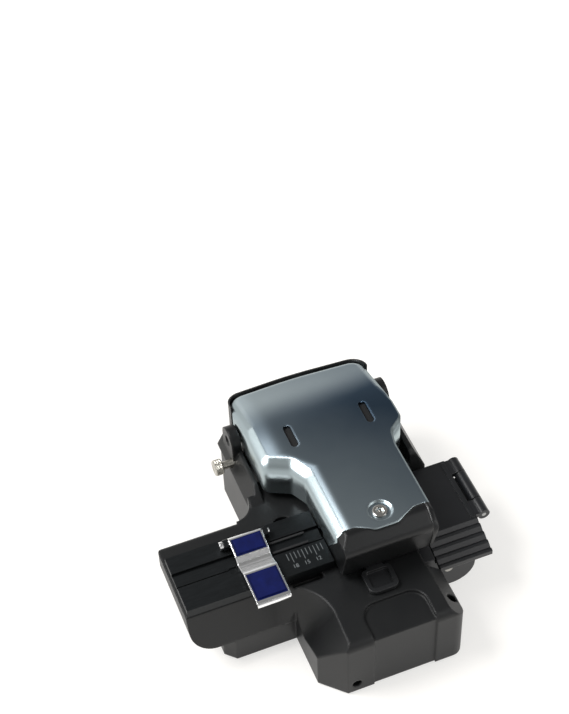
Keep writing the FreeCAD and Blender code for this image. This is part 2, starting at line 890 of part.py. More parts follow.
def underside():
    """Floor plate over the carriage's cavity, its screws, and four rubber feet."""
    edge = dim.carriage_side + dim.slide_gap + dim.floor_margin
    span_x = (blade - edge, blade + edge)
    span_y = (well_y[0] - dim.floor_margin, well_y[1] + dim.floor_margin)
    inset = dim.floor_margin / 2
    places = [
        (x, y)
        for x in (span_x[0] + inset, span_x[1] - inset)
        for y in (span_y[0] + inset, span_y[1] - inset)
    ]
    housing = sub_parts[0]
    pocket(housing, "XY", (ground_gap, floor_top), rectangle(span_x, span_y))
    pocket(housing, "XY", (floor_top, floor_top + dim.screw_bite), circles=[
        (x, y, dim.small_screw_radius) for x, y in places])
    plate = new_body("floor_plate")
    pad(plate, "XY", (ground_gap, floor_top), rectangle(span_x, span_y))
    head_top = ground_gap + dim.small_head_height
    pocket(plate, "XY", (ground_gap, head_top), circles=[
        (x, y, dim.small_head_radius) for x, y in places])
    pocket(plate, "XY", (head_top, floor_top), circles=[
        (x, y, dim.small_screw_radius) for x, y in places])
    sub_part(plate, "floor_plate")
    screws = []
    for number, place in enumerate(places, start=1):
        head = rod(f"floor_head_{number}", "Z", (ground_gap, head_top), place, dim.small_head_radius)
        shank_span = (head_top, floor_top + dim.screw_bite)
        shank = rod(f"floor_shank_{number}", "Z", shank_span, place, dim.small_screw_radius)
        screws.append(fuse(f"floor_screw_{number}", head, shank))
    sub_part(group("floor_screws_set", *screws), "floor_screws")
    seat = ground_gap + dim.pad_height - dim.foot_gap
    inset = dim.pad_radius + dim.pad_edge
    feet = [
        (block_left + dim.block_chamfer + inset, block_front + inset),
        (block_right - inset, block_front + inset),
        (rear_left + inset, rear_end - inset),
        (rear_right - inset, rear_end - inset),
    ]
    pocket(housing, "XY", (ground_gap, seat), circles=[(x, y, dim.pad_radius) for x, y in feet])
    pads = [
        rod(f"foot_{number}", "Z", (Size(0.0, "0"), seat), place, dim.pad_radius)
        for number, place in enumerate(feet, start=1)
    ]
    sub_part(group("rubber_feet_set", *pads), "rubber_feet")


# ---------------------------------------------------------------- fibre plate and clip

def fibre_plate():
    """The grooved plate that carries the fibre holder, with the two lugs of the clip."""
    body = new_body("fibre_plate")
    edge_back = fibre + dim.channel_half
    edge_front = fibre - dim.channel_half
    floor = plate_top - dim.channel_depth
    groove = floor - dim.groove_depth
    pad(body, "YZ", (plate_left, plate_right), [
        (plate_y[0], deck),
        (plate_y[1], deck),
        (plate_y[1], plate_top),
        (edge_back, plate_top),
        (edge_back, groove),
        (edge_back - dim.groove_width, groove),
        (edge_back - dim.groove_width, floor),
        (edge_front + dim.groove_width, floor),
        (edge_front + dim.groove_width, groove),
        (edge_front, groove),
        (edge_front, plate_top),
        (plate_y[0], plate_top),
    ])
    stop_x = blade - dim.stop_left
    pocket(body, "XY", (plate_top - dim.stop_depth, plate_top), rectangle(
        (stop_x, stop_x + dim.stop_side),
        (edge_front - dim.stop_side / 2, edge_front + dim.stop_side / 2)))
    lug_top = clip_hinge_z + dim.clip_eye_radius
    for low, high in clip_lugs():
        lug = [
            (clip_hinge_y - dim.clip_eye_radius, plate_top - dim.channel_depth),
            (clip_hinge_y + dim.clip_eye_radius, plate_top - dim.channel_depth),
            (clip_hinge_y + dim.clip_eye_radius, lug_top, dim.clip_eye_radius * 0.9),
            (clip_hinge_y - dim.clip_eye_radius, lug_top, dim.clip_eye_radius * 0.9),
        ]
        pad(body, "YZ", (low, high), lug)
    lugs = clip_lugs()
    pocket(body, "YZ", (lugs[0][0] - 1, lugs[1][1] + 1), circles=[
        (clip_hinge_y, clip_hinge_z, dim.clip_pin_radius)])
    magnet = clip_magnet_place()
    pocket(body, "XY", (plate_top - dim.clip_magnet_depth, plate_top), circles=[
        (magnet[0], magnet[1], dim.clip_magnet_radius)])
    sub_part(body, "fibre_plate")
    disc = rod("magnet_disc", "Z", (plate_top - dim.clip_magnet_depth, plate_top),
               magnet, dim.clip_magnet_radius)
    sub_part(disc, "clip_magnet")


def clip_lugs():
    """The (low, high) places along X of the two lugs beside the clip's eye."""
    gap = dim.hinge_gap
    return (
        (clip_x[0] - gap - dim.clip_lug, clip_x[0] - gap),
        (clip_x[1] + gap, clip_x[1] + gap + dim.clip_lug),
    )


def clip_magnet_place():
    return middle(*clip_x), plate_y[0] + dim.clip_magnet_radius + dim.clip_lug


def clip_line(sheet_side):
    """Corners of the clip's bent strip from the eye to the lip, along its top or its underside.

    sheet_side is 0 for the top and 1 for the underside, a sheet's thickness below it."""
    drop = dim.clip_sheet * sheet_side
    shift = dim.clip_sheet * sheet_side * dim.clip_sheet_turn
    top = clip_hinge_z + dim.clip_eye_radius - drop
    floor = plate_top + dim.clip_sheet + dim.clip_clear - drop
    front = plate_top + dim.clip_rise_front - drop
    step = (front - floor) / 4
    foot_front = fibre - dim.clip_foot_front
    line = [
        (clip_hinge_y, top),
        (fibre - dim.clip_crease + shift, top - dim.clip_fall, dim.clip_crease_round),
        (fibre - dim.clip_foot + shift, floor, dim.clip_foot_round),
        (foot_front, floor),
    ]
    for rib in range(1, 4):
        foot = foot_front - dim.clip_rib_pitch * rib
        line.append((foot + 0.2, floor + step * (rib - 0.7)))
        line.append((foot, floor + step * rib))
    line.append((foot_front - dim.clip_rib_pitch * 4, front))
    line.append((fibre - dim.clip_reach, front))
    return line


def clip_crest_at(y):
    """Height of the strip's top between the eye and the crease, at a place y."""
    run = clip_hinge_y - (fibre - dim.clip_crease)
    return clip_hinge_z + dim.clip_eye_radius - dim.clip_fall * (clip_hinge_y - y) / run


def fibre_clip():
    """The sprung leaf that holds the fibre down: bent strip, rolled lip, two inlays, pin."""
    leaf = new_body("clip_leaf")
    pad(leaf, "YZ", clip_x, clip_line(0) + clip_line(1)[::-1])
    pad(leaf, "YZ", clip_x, circles=[(clip_hinge_y, clip_hinge_z, dim.clip_eye_radius)])
    lip_z = plate_top + dim.clip_rise_front - dim.clip_lip_radius
    pad(leaf, "YZ", clip_x, circles=[(fibre - dim.clip_reach, lip_z, dim.clip_lip_radius)])
    pocket(leaf, "YZ", (clip_x[0] - 1, clip_x[1] + 1), circles=[
        (clip_hinge_y, clip_hinge_z, dim.clip_pin_radius + dim.running_gap)])
    sub_part(leaf, "clip_leaf")
    inset = dim.panel_inset
    panel_x = (clip_x[0] + inset, clip_x[1] - inset)
    rear = new_body("clip_panel_rear")
    ends = (clip_hinge_y - 0.5, fibre - dim.clip_crease + 0.5)
    heights = [clip_crest_at(y) for y in ends]
    pad(rear, "YZ", panel_x, [
        (ends[0], heights[0]),
        (ends[0], heights[0] + dim.panel_thick),
        (ends[1], heights[1] + dim.panel_thick),
        (ends[1], heights[1]),
    ])
    sub_part(rear, "clip_panel_rear")
    front_top = plate_top + dim.clip_rise_front
    panel_back = fibre - dim.clip_foot_front - dim.clip_rib_pitch * 4 - dim.panel_back_gap
    front_y = (fibre - dim.clip_reach + dim.panel_front_gap, panel_back)
    panel = block("clip_panel_block", panel_x, front_y, (front_top, front_top + dim.panel_thick))
    sub_part(panel, "clip_panel_front")
    lugs = clip_lugs()
    pin_span = (lugs[0][0] - dim.clip_pin_end, lugs[1][1] + dim.clip_pin_end / 2)
    across = (clip_hinge_y, clip_hinge_z)
    pin = rod("clip_pin_shank", "X", pin_span, across, dim.clip_pin_radius)
    head_span = (lugs[0][0] - dim.clip_pin_end, lugs[0][0])
    head = rod("clip_pin_head", "X", head_span, across, dim.clip_pin_head)
    sub_part(fuse("clip_pin_whole", pin, head), "clip_pin")


# ---------------------------------------------------------------- blade carriage

def blade_carriage():
    """The slider: finger tab, stem through the deck, block on two rods, wheel in its slot."""
    body = new_body("blade_carriage")
    side, stem = dim.carriage_side, dim.stem_side
    roof = deck - dim.bar_depth - dim.slide_gap
    pad(body, "XY", (cavity_low, roof), rectangle((blade - side, blade + side), carriage_y))
    pad(body, "XY", (roof, tab_low), rectangle((blade - stem, blade + stem), carriage_y))
    tab_front = fibre - dim.tab_reach
    tab_back = tab_front + dim.tab_length
    pad(body, "XY", (tab_low, tab_top), [
        (blade - side, tab_front, dim.tab_round),
        (blade + side, tab_front, dim.tab_round),
        (blade + side, tab_back, dim.tab_round_back),
        (blade + stem, tab_back),
        (blade + stem, carriage_y[1]),
        (blade - stem, carriage_y[1]),
        (blade - stem, tab_back),
        (blade - side, tab_back, dim.tab_round_back),
    ])
    rim = dim.tab_rim
    dish_y = (tab_front + dim.tab_rim_front, tab_back - dim.tab_rim_back)
    dish = rectangle((blade - side + rim, blade + side - rim), dish_y, dim.dish_round)
    pocket(body, "XY", (tab_top - dim.tab_dish, tab_top), dish)
    half_slot = dim.wheel_thick / 2 + dim.wheel_room
    pocket(body, "YZ", (blade - half_slot, blade + half_slot), circles=[
        (wheel_y, wheel_z, dim.wheel_radius + dim.wheel_room)])
    pocket(body, "YZ", (blade - side, blade + side), circles=[(wheel_y, wheel_z, dim.wheel_hub)])
    bore = dim.rod_radius + dim.running_gap
    pocket(body, "XZ", (carriage_y[0] - 1, carriage_y[1] + 1), circles=[
        (blade - dim.rod_side, rod_z, bore), (blade + dim.rod_side, rod_z, bore)])
    sub_part(body, "blade_carriage")
    rod_span = (well_y[0] - dim.rod_seat, well_y[1] + dim.rod_seat)
    rods = [
        rod(f"guide_rod_{name}", "Y", rod_span, (blade + sign * dim.rod_side, rod_z), dim.rod_radius)
        for name, sign in (("left", -1), ("right", 1))
    ]
    sub_part(group("guide_rods_set", *rods), "guide_rods")
    inner = (blade - side + dim.axle_inset, blade + side - dim.axle_inset)
    axle = rod("axle_shank", "X", inner, (wheel_y, wheel_z), dim.wheel_hub)
    sub_part(axle, "blade_axle")


def blade_wheel():
    """The cutting wheel: a thin disc ground to an edge from both sides, free on its axle."""
    across = (wheel_y, wheel_z)
    half = dim.wheel_thick / 2
    land = dim.wheel_radius - dim.wheel_bevel
    disc = rod("wheel_disc", "X", (blade - half, blade + half), across, land)
    left = cone("wheel_edge_left", "X", (blade - half, blade), across, land, dim.wheel_radius)
    right = cone("wheel_edge_right", "X", (blade, blade + half), across, dim.wheel_radius, land)
    bore = rod("wheel_bore", "X", (blade - 1, blade + 1), across, dim.wheel_hub + dim.running_gap)
    sub_part(cut("wheel_whole", fuse("wheel_solid", disc, left, right), bore), "blade_wheel")


# ---------------------------------------------------------------- clamps beside the blade

def fibre_clamps():
    """Lower clamps on the deck and the hanger in the lever that presses the fibre onto them."""
    clamp_y = (fibre - dim.clamp_length / 2, fibre + dim.clamp_length / 2)
    fibre_z = plate_top - dim.channel_depth
    pad_top = fibre_z + dim.pad_gap + dim.clamp_pad
    hanger_z = (deck + dim.hanger_rise, deck + dim.hanger_rise + dim.hanger_thick)
    feet = []
    for name, sign in (("left", -1), ("right", 1)):
        near_x = blade + sign * dim.clamp_inner
        far_x = near_x + sign * dim.clamp_width
        span = (far_x, near_x) if sign < 0 else (near_x, far_x)
        holder = block(f"lower_holder_{name}", span, clamp_y, (deck, fibre_z - dim.clamp_pad))
        sub_part(holder, f"lower_clamp_{name}")
        rubber = block(f"lower_rubber_{name}", span, clamp_y, (fibre_z - dim.clamp_pad, fibre_z))
        sub_part(rubber, f"lower_pad_{name}")
        upper = block(f"upper_rubber_{name}", span, clamp_y, (fibre_z + dim.pad_gap, pad_top))
        sub_part(upper, f"upper_pad_{name}")
        feet.append(block(f"hanger_foot_{name}", span, clamp_y, (pad_top, hanger_z[0])))
    edge = dim.clamp_inner + dim.clamp_width
    hanger_y = (fibre - dim.hanger_length / 2, fibre + dim.hanger_length / 2)
    bar = block("hanger_bar", (blade - edge, blade + edge), hanger_y, hanger_z)
    sub_part(fuse("hanger_whole", bar, *feet), "clamp_hanger")
    anvil_low = wheel_z + dim.wheel_radius + dim.anvil_gap
    anvil = block(
        "anvil_block",
        (blade - dim.anvil_width / 2, blade + dim.anvil_width / 2),
        (fibre - dim.anvil_length / 2, fibre + dim.anvil_length / 2),
        (anvil_low, hanger_z[0]),
    )
    sub_part(anvil, "anvil")
    roof = lever_top - dim.cover_wall - dim.frame_roof
    posts = [
        rod(f"hanger_post_{number}", "Z", (hanger_z[1], roof), (blade, y), dim.hanger_post)
        for number, y in enumerate((hanger_y[0] + dim.post_inset, hanger_y[1] - dim.post_inset), start=1)
    ]
    sub_part(group("hanger_posts_set", *posts), "hanger_posts")


# ---------------------------------------------------------------- lever

def slope_at(y, lower):
    """Height of the lever's falling tail at a place y, a wall's thickness lower."""
    fall = dim.tail_drop * (y - crease) / (tail - crease)
    return lever_top - fall - lower


def nose_cut():
    """Side outline of the space in front of the lever's nose."""
    bottom_y = nose_tip + dim.nose_undercut
    top_y = nose_tip + dim.nose_slope
    return [
        (nose_tip - 6, lever_low - 3),
        (bottom_y, lever_low - 3),
        (bottom_y, lever_low),
        (nose_tip, nose_tip_z, dim.nose_round),
        (top_y, lever_top, dim.nose_round),
        (top_y + 1.2, lever_top + 0.01),
        (top_y + 1.2, lever_top + 3),
        (nose_tip - 6, lever_top + 3),
    ]


def wave(inner):
    """Plan outline of the nose in front of the cover's wavy front edge."""
    side_left = fibre - dim.wave_side_left
    side_right = fibre - dim.wave_side_right
    bulge = fibre - dim.wave_front
    turn = dim.wave_turns
    return [
        (inner[0], nose_tip - 3),
        (inner[1], nose_tip - 3),
        (inner[1], side_right),
        (blade + dim.wave_right, side_right, turn),
        (blade + dim.wave_bulge_right, bulge, turn),
        (blade + dim.wave_bulge_left, bulge, turn),
        (blade - dim.wave_left, side_left, turn),
        (inner[0], side_left),
    ]


def skirt_front():
    """Side outline of the nose in front of the left skirt, whose edge slants back as it falls."""
    return [
        (nose_tip - 1, lever_low),
        (fibre - dim.skirt_front_low, lever_low),
        (fibre - dim.skirt_front_low, skirt_low),
        (fibre - dim.skirt_front_top, lever_top - 2 * dim.cover_bevel, dim.nose_round),
        (fibre - dim.skirt_front_top, lever_top),
        (nose_tip - 1, lever_top),
    ]


def tail_corners(side, back):
    """Back corners of the lever in plan, from right to left, moved out to the side and back."""
    return [
        (wide[1] + side, tail_right + back, dim.tail_corner_right),
        (middle(*wide) - dim.tail_middle_left, tail + back, dim.tail_bow),
        (wide[0] - side, tail_left + back, dim.tail_corner_left),
    ]


def lever_spans():
    """Inner faces of the cover's skirts: narrow part, wide part, and where the wide part starts."""
    wall = dim.cover_wall
    inner_narrow = (narrow[0] + wall, narrow[1] - wall)
    inner_wide = (wide[0] + wall, wide[1] - wall)
    return inner_narrow, inner_wide, fibre + dim.shoulder_end + wall


def lever_cover():
    """The metal cover: waisted shell with bevelled rim, falling tail, wavy front, slots, dish."""
    body = new_body("lever_cover")
    start, turn, end = (fibre + d for d in (dim.shoulder_start, dim.shoulder_turn, dim.shoulder_end))
    pad(body, "XY", (skirt_low, lever_top), [
        (narrow[0], nose_tip),
        (narrow[1], nose_tip),
        (narrow[1], start, dim.shoulder_round),
        (narrow[1] + dim.shoulder_spread_right, turn, dim.shoulder_round),
        (wide[1], end, dim.shoulder_round_back),
        *tail_corners(0, 0),
        (wide[0], end, dim.shoulder_round_back),
        (narrow[0] - dim.shoulder_spread_left, turn, dim.shoulder_round),
        (narrow[0], start, dim.shoulder_round),
    ])
    pocket(body, "YZ", (wide[0] - 1, wide[1] + 1), [
        (crease, lever_top),
        (tail + 2, slope_at(tail + 2, 0)),
        (tail + 2, lever_top + 1),
        (crease, lever_top + 1),
    ])
    rim_low = tail_top.value - 0.3

    def on_left(edge):
        box = edge_box(edge)
        return box.ZMin > rim_low and box.XMax < wide[0].value + dim.wide_left.value / 2

    def on_right(edge):
        box = edge_box(edge)
        return box.ZMin > rim_low and box.XMin > wide[1].value - dim.wide_right.value / 2

    dress(body, "Chamfer", dim.cover_bevel, on_left)
    dress(body, "Chamfer", dim.cover_bevel_right, on_right)
    inner_narrow, inner_wide, hollow_front = lever_spans()
    wall = dim.cover_wall
    pocket(body, "YZ", inner_wide, [
        (hollow_front, skirt_low - 1),
        (tail + 1, skirt_low - 1),
        (tail + 1, slope_at(tail + 1, wall)),
        (crease, lever_top - wall),
        (hollow_front, lever_top - wall),
    ])
    pocket(body, "XY", (skirt_low, lever_top - wall), rectangle(
        inner_narrow, (nose_tip - 1, hollow_front + 1)))
    pocket(body, "XY", (skirt_low, lever_top), wave(inner_narrow))
    pocket(body, "YZ", (narrow[0] - 0.01, inner_narrow[0]), skirt_front())
    pocket(body, "YZ", (narrow[0] - 1, narrow[1] + 1), nose_cut())
    cover_openings(body)
    return sub_part(body, "lever_cover")


def cover_openings(body):
    """Slots, screw dish, notches for the hinge pin and for the fibre."""
    wall = dim.cover_wall
    for x in (blade - dim.slot_left, blade + dim.slot_right):
        pocket(body, "XY", (lever_top - wall, lever_top), slot_outline(x))
    notches = (
        (blade - dim.notch_left, dim.notch_width_left / 2),
        (blade + dim.notch_right, dim.notch_width_right / 2),
    )
    for x, half in notches:
        pocket(body, "XY", (skirt_low, lever_top), rectangle(
            (x - half, x + half), (tail - dim.notch_deep, tail + 1)))
    place = cover_screw_place()
    pocket(body, "XY", (lever_top - dim.dish_depth, lever_top), circles=[place + (dim.dish_radius,)])
    pocket(body, "XY", (lever_top - wall, lever_top), circles=[place + (dim.small_screw_radius,)])
    room = dim.hinge_pin_radius + dim.pad_gap
    for span in ((wide[0], wide[0] + wall), (wide[1] - wall, wide[1])):
        pocket(body, "YZ", span, rectangle((hinge_y - room, hinge_y + room), (skirt_low - 1, hinge_z + room)))
    pass_top = plate_top + dim.fibre_pass
    for span in ((narrow[0], narrow[0] + wall), (narrow[1] - wall, narrow[1])):
        pocket(body, "YZ", span, rectangle(
            (fibre - dim.fibre_pass, fibre + dim.fibre_pass), (skirt_low - 1, pass_top)))


def slot_outline(x):
    half = dim.slot_width / 2
    centre_y = fibre + dim.slot_back
    return rectangle(
        (x - half, x + half),
        (centre_y - dim.slot_length / 2, centre_y + dim.slot_length / 2),
        half - 0.01,
    )


def cover_screw_place():
    return blade + dim.cover_screw_right, fibre - dim.cover_screw_front


def lever_frame():
    """The moulded frame under the cover: nose, side walls, hinge lobe with lock boss, tail rim."""
    body = new_body("lever_frame")
    inner_narrow, inner_wide, hollow_front = lever_spans()
    wall = dim.cover_wall
    pad(body, "XY", (lever_low, lever_top - wall), rectangle(
        inner_narrow, (nose_tip - 1, hollow_front + 1)))
    right, bow, left = tail_corners(0, 0.3)
    pad(body, "XY", (lever_low, lever_top - wall), [
        (inner_wide[0], hollow_front),
        (inner_wide[1], hollow_front),
        (inner_wide[1], right[1] - 0.2, dim.tail_corner_right - wall),
        bow,
        (inner_wide[0], left[1] - 0.2, dim.tail_corner_left - wall),
    ])
    past = tail + 3
    pocket(body, "YZ", (wide[0], wide[1]), [
        (crease, lever_top - wall),
        (past, slope_at(past, wall)),
        (past, lever_top),
        (crease, lever_top),
    ])
    frame_rim(body)
    frame_nose(body, inner_narrow)
    side = dim.frame_wall
    roof = wall + dim.frame_roof
    pocket(body, "YZ", (inner_narrow[0] + side, inner_narrow[1] - side), [
        (nose_tip + dim.nose_wall, lever_low - 1),
        (hollow_front + side + 1, lever_low - 1),
        (hollow_front + side + 1, lever_top - roof),
        (nose_tip + dim.nose_wall, lever_top - roof),
    ])
    back = tail - dim.frame_wall
    pocket(body, "YZ", (inner_wide[0] + side, inner_wide[1] - side), [
        (hollow_front + side, lever_low - 1),
        (back, lever_low - 1),
        (back, slope_at(back, roof)),
        (crease, lever_top - roof),
        (hollow_front + side, lever_top - roof),
    ])
    frame_hinge(body, inner_wide)
    pass_top = plate_top + dim.fibre_pass
    for span in (
        (inner_narrow[0], inner_narrow[0] + side),
        (inner_narrow[1] - side, inner_narrow[1]),
    ):
        pocket(body, "YZ", span, rectangle(
            (fibre - dim.fibre_pass, fibre + dim.fibre_pass), (lever_low - 1, pass_top)))
    place = cover_screw_place()
    pocket(body, "XY", (lever_top - wall - dim.screw_bite, lever_top - wall), circles=[
        place + (dim.small_screw_radius,)])
    return sub_part(body, "lever_frame")


def frame_rim(body):
    """The thin rim of the frame that shows round the cover's tail."""
    start = hinge_y + dim.ear_radius + dim.ear_gap
    outer = tail_corners(dim.tail_rim_side, dim.tail_rim)
    inner = tail_corners(0, 0)
    pad(body, "XY", (lever_low, lever_top), [
        (wide[1], start),
        (wide[1] + dim.tail_rim_side, start),
        *outer,
        (wide[0] - dim.tail_rim_side, start),
        (wide[0], start),
        *inner[::-1],
    ])
    pad(body, "XY", (lever_low, skirt_low), [
        (wide[1] + dim.tail_rim_side, start),
        *outer,
        (wide[0] - dim.tail_rim_side, start),
    ])
    past = tail + 3
    drop = dim.tail_rim_drop
    pocket(body, "YZ", (wide[0] - 1, wide[1] + 1), [
        (crease, lever_top - drop),
        (past, slope_at(past, drop)),
        (past, lever_top + 1),
        (crease, lever_top + 1),
    ])


def frame_nose(body, inner_narrow):
    """The nose: flush with the cover in front of its wavy edge and of its left skirt."""
    pad(body, "XY", (lever_top - dim.cover_wall, lever_top), wave(inner_narrow))
    pad(body, "YZ", (narrow[0], inner_narrow[0]), skirt_front())
    bevel = dim.cover_bevel
    pocket(body, "XZ", (nose_tip - 2, fibre - dim.skirt_front_top), [
        (narrow[0], lever_top - bevel),
        (narrow[0] + bevel, lever_top),
        (narrow[0] + bevel, lever_top + 1),
        (narrow[0] - 1, lever_top + 1),
        (narrow[0] - 1, lever_top - bevel),
    ])
    pocket(body, "YZ", (narrow[0] - 1, narrow[1] + 1), nose_cut())


def frame_hinge(body, inner_wide):
    """Lobes around the hinge pin; the left one carries the boss that the lock pin enters."""
    for span, reach in (
        ((inner_wide[0], inner_wide[0] + dim.lobe_wall), dim.lobe_radius),
        ((inner_wide[1] - dim.lobe_wall, inner_wide[1]), dim.ear_radius),
    ):
        pad(body, "YZ", span, [
            (hinge_y - reach, lever_low + 3),
            (hinge_y - reach, hinge_z - reach, reach - 0.02),
            (hinge_y + reach, hinge_z - reach, reach - 0.02),
            (hinge_y + reach, lever_low + 3),
        ])
    boss = (wide[0], inner_wide[0] + 0.5)
    pad(body, "YZ", boss, circles=[(lock_y, lock_z, dim.lock_radius + dim.frame_wall)])
    pocket(body, "YZ", (inner_wide[0] - 0.5, inner_wide[1] + 0.5), circles=[
        (hinge_y, hinge_z, dim.hinge_pin_radius + dim.running_gap)])
    deep = dim.lock_travel - dim.ear_gap + dim.lock_bite
    pocket(body, "YZ", (wide[0], wide[0] + deep), circles=[
        (lock_y, lock_z, dim.lock_radius + dim.pad_gap)])


def lever_fittings():
    """Hinge pin, return spring, cover screw, slot inserts and the lock pin."""
    end = dim.pin_recess
    pin_span = (left_ear[0] + end, right_ear[1] - end)
    pin = rod("hinge_pin_shank", "X", pin_span, (hinge_y, hinge_z), dim.hinge_pin_radius)
    sub_part(pin, "hinge_pin")
    place = cover_screw_place()
    head_z = (lever_top - dim.dish_depth, lever_top - dim.cover_screw_drop)
    head = rod("cover_head", "Z", head_z, place, dim.cover_screw_radius)
    shank_z = (lever_top - dim.cover_wall - dim.screw_bite, lever_top - dim.dish_depth)
    shank = rod("cover_shank", "Z", shank_z, place, dim.small_screw_radius)
    sub_part(fuse("cover_screw_whole", head, shank), "cover_screw")
    inserts = []
    for name, x in (("left", blade - dim.slot_left), ("right", blade + dim.slot_right)):
        body = new_body(f"slot_insert_{name}")
        pad(body, "XY", (lever_top - dim.cover_wall, lever_top - dim.slot_insert_depth), slot_outline(x))
        inserts.append(body)
    sub_part(group("slot_inserts_set", *inserts), "slot_inserts")
    across = (lock_y, lock_z)
    neck_low = rear_left - dim.neck_length
    knob = rod("lock_knob", "X", (neck_low - dim.knob_length, neck_low), across, dim.knob_radius)
    shaft = rod("lock_shaft", "X", (neck_low, left_ear[1] - 0.1), across, dim.lock_radius)
    sub_part(fuse("lock_pin_whole", knob, shaft), "lock_pin")


def return_spring():
    """Closed coils of the torsion spring, wound on the hinge pin."""
    helix = doc.addObject("Part::Helix", "spring_line")
    bind(helix, "Pitch", dim.spring_wire * dim.coil_pitch)
    bind(helix, "Height", dim.spring_wire * dim.coil_pitch * dim.spring_turns)
    bind(helix, "Radius", dim.spring_radius)
    wire = doc.addObject("Part::Circle", "spring_wire_section")
    bind(wire, "Radius", dim.spring_wire / 2)
    wire.Placement.Rotation = Rotation(Vector(1, 0, 0), 90)
    bind(wire, "Placement.Base.x", dim.spring_radius)
    coil = doc.addObject("Part::Sweep", "spring_coil")
    coil.Sections = [wire]
    coil.Spine = (helix, [])
    coil.Solid = True
    coil.Frenet = True
    coil.Placement.Rotation = TURNS["X"]
    bind(coil, "Placement.Base.x", blade)
    bind(coil, "Placement.Base.y", hinge_y)
    bind(coil, "Placement.Base.z", hinge_z)
    sub_part(coil, "return_spring")


# ---------------------------------------------------------------- scrap collector

def knuckle(body, span, arm_x, arm_z):
    """A hinge knuckle of the collector and the arm that carries it."""
    pad(body, "XZ", span, rectangle((arm_x, lid_hinge_x), arm_z))
    pad(body, "XZ", span, circles=[(lid_hinge_x, lid_hinge_z, dim.lid_hinge_radius)])


def barrel_spans():
    """Along Y: the lid's two outer knuckles and the bin's one between them."""
    front = (barrel_y[0], barrel_y[0] + dim.knuckle_length)
    back = (barrel_y[1] - dim.knuckle_length, barrel_y[1])
    return front, back, (front[1] + dim.hinge_gap, back[0] - dim.hinge_gap)


def collector_bin():
    """The scrap bin: an open trough with a round bottom, screwed to the housing's side."""
    body = new_body("collector_bin")
    wall = dim.bin_wall
    pad(body, "XZ", bin_y, [
        (bin_x[0], bin_low, dim.bin_round),
        (bin_x[1] - dim.bin_lean, bin_low, dim.bin_round),
        (bin_x[1], bin_top),
        (bin_x[0], bin_top),
    ])
    pocket(body, "XZ", (bin_y[0] + wall, bin_y[1] - wall), [
        (bin_x[0] + wall, bin_low + wall, dim.bin_round - wall),
        (bin_x[1] - dim.bin_lean - wall, bin_low + wall, dim.bin_round - wall),
        (bin_x[1] - wall, bin_top + 1),
        (bin_x[0] + wall, bin_top + 1),
    ])
    grip_back = lid_y[0] + dim.lid_grip
    pocket(body, "YZ", (bin_x[0] - 1, bin_x[1] + 1), [
        (grip_back, bin_top),
        (lid_y[0], bin_top - dim.grip_drop),
        (lid_y[0], bin_top + 1),
        (grip_back, bin_top + 1),
    ])
    pad(body, "YZ", (bin_x[0], bin_x[0] + dim.ledge_width), [
        (bin_y[0], lid_top - dim.ledge_drop - dim.ledge_thick),
        (grip_back, lid_top - dim.ledge_thick),
        (bin_y[1], lid_top - dim.ledge_thick),
        (bin_y[1], lid_top),
        (grip_back, lid_top),
        (bin_y[0], lid_top - dim.ledge_drop),
    ])
    screws = bin_screw_places()
    pocket(body, "YZ", (bin_x[0], bin_x[0] + wall), circles=[
        (y, z, dim.small_screw_radius) for y, z in screws])
    front_place = (bin_x[0] + dim.front_screw_left, bin_low + dim.front_screw_rise)
    pocket(body, "XZ", (bin_y[0], bin_y[0] + wall), circles=[
        front_place + (dim.small_screw_radius,)])
    arm_top = lid_low - dim.hinge_gap
    knuckle(body, barrel_spans()[2], bin_x[1] - wall, (arm_top - dim.arm_thick, arm_top))
    pocket(body, "XZ", barrel_spans()[2], circles=[(lid_hinge_x, lid_hinge_z, dim.lid_pin_radius)])
    sub_part(body, "collector_bin")
    housing = sub_parts[0]
    pocket(housing, "YZ", (bin_x[0] - dim.screw_bite, bin_x[0]), circles=[
        (y, z, dim.small_screw_radius) for y, z in screws])
    made = []
    inside = bin_x[0] + wall
    for number, place in enumerate(screws, start=1):
        head_span = (inside, inside + dim.small_head_height)
        head = rod(f"bin_head_{number}", "X", head_span, place, dim.small_head_radius)
        shank_span = (bin_x[0] - dim.screw_bite, inside)
        shank = rod(f"bin_shank_{number}", "X", shank_span, place, dim.small_screw_radius)
        made.append(fuse(f"bin_screw_{number}", head, shank))
    front_head = rod("bin_front_head", "Y", (bin_y[0] - 0.5, bin_y[0]), front_place,
                     dim.front_screw_radius)
    front_shank = rod("bin_front_shank", "Y", (bin_y[0], bin_y[0] + wall), front_place,
                      dim.small_screw_radius)
    made.append(fuse("bin_front_screw", front_head, front_shank))
    sub_part(group("bin_screws_set", *made), "collector_screws")


def bin_screw_places():
    quarter = (bin_y[1] - bin_y[0]) / 4
    z = bin_top - dim.bin_screw_drop
    return [(bin_y[0] + quarter, z), (bin_y[1] - quarter, z)]


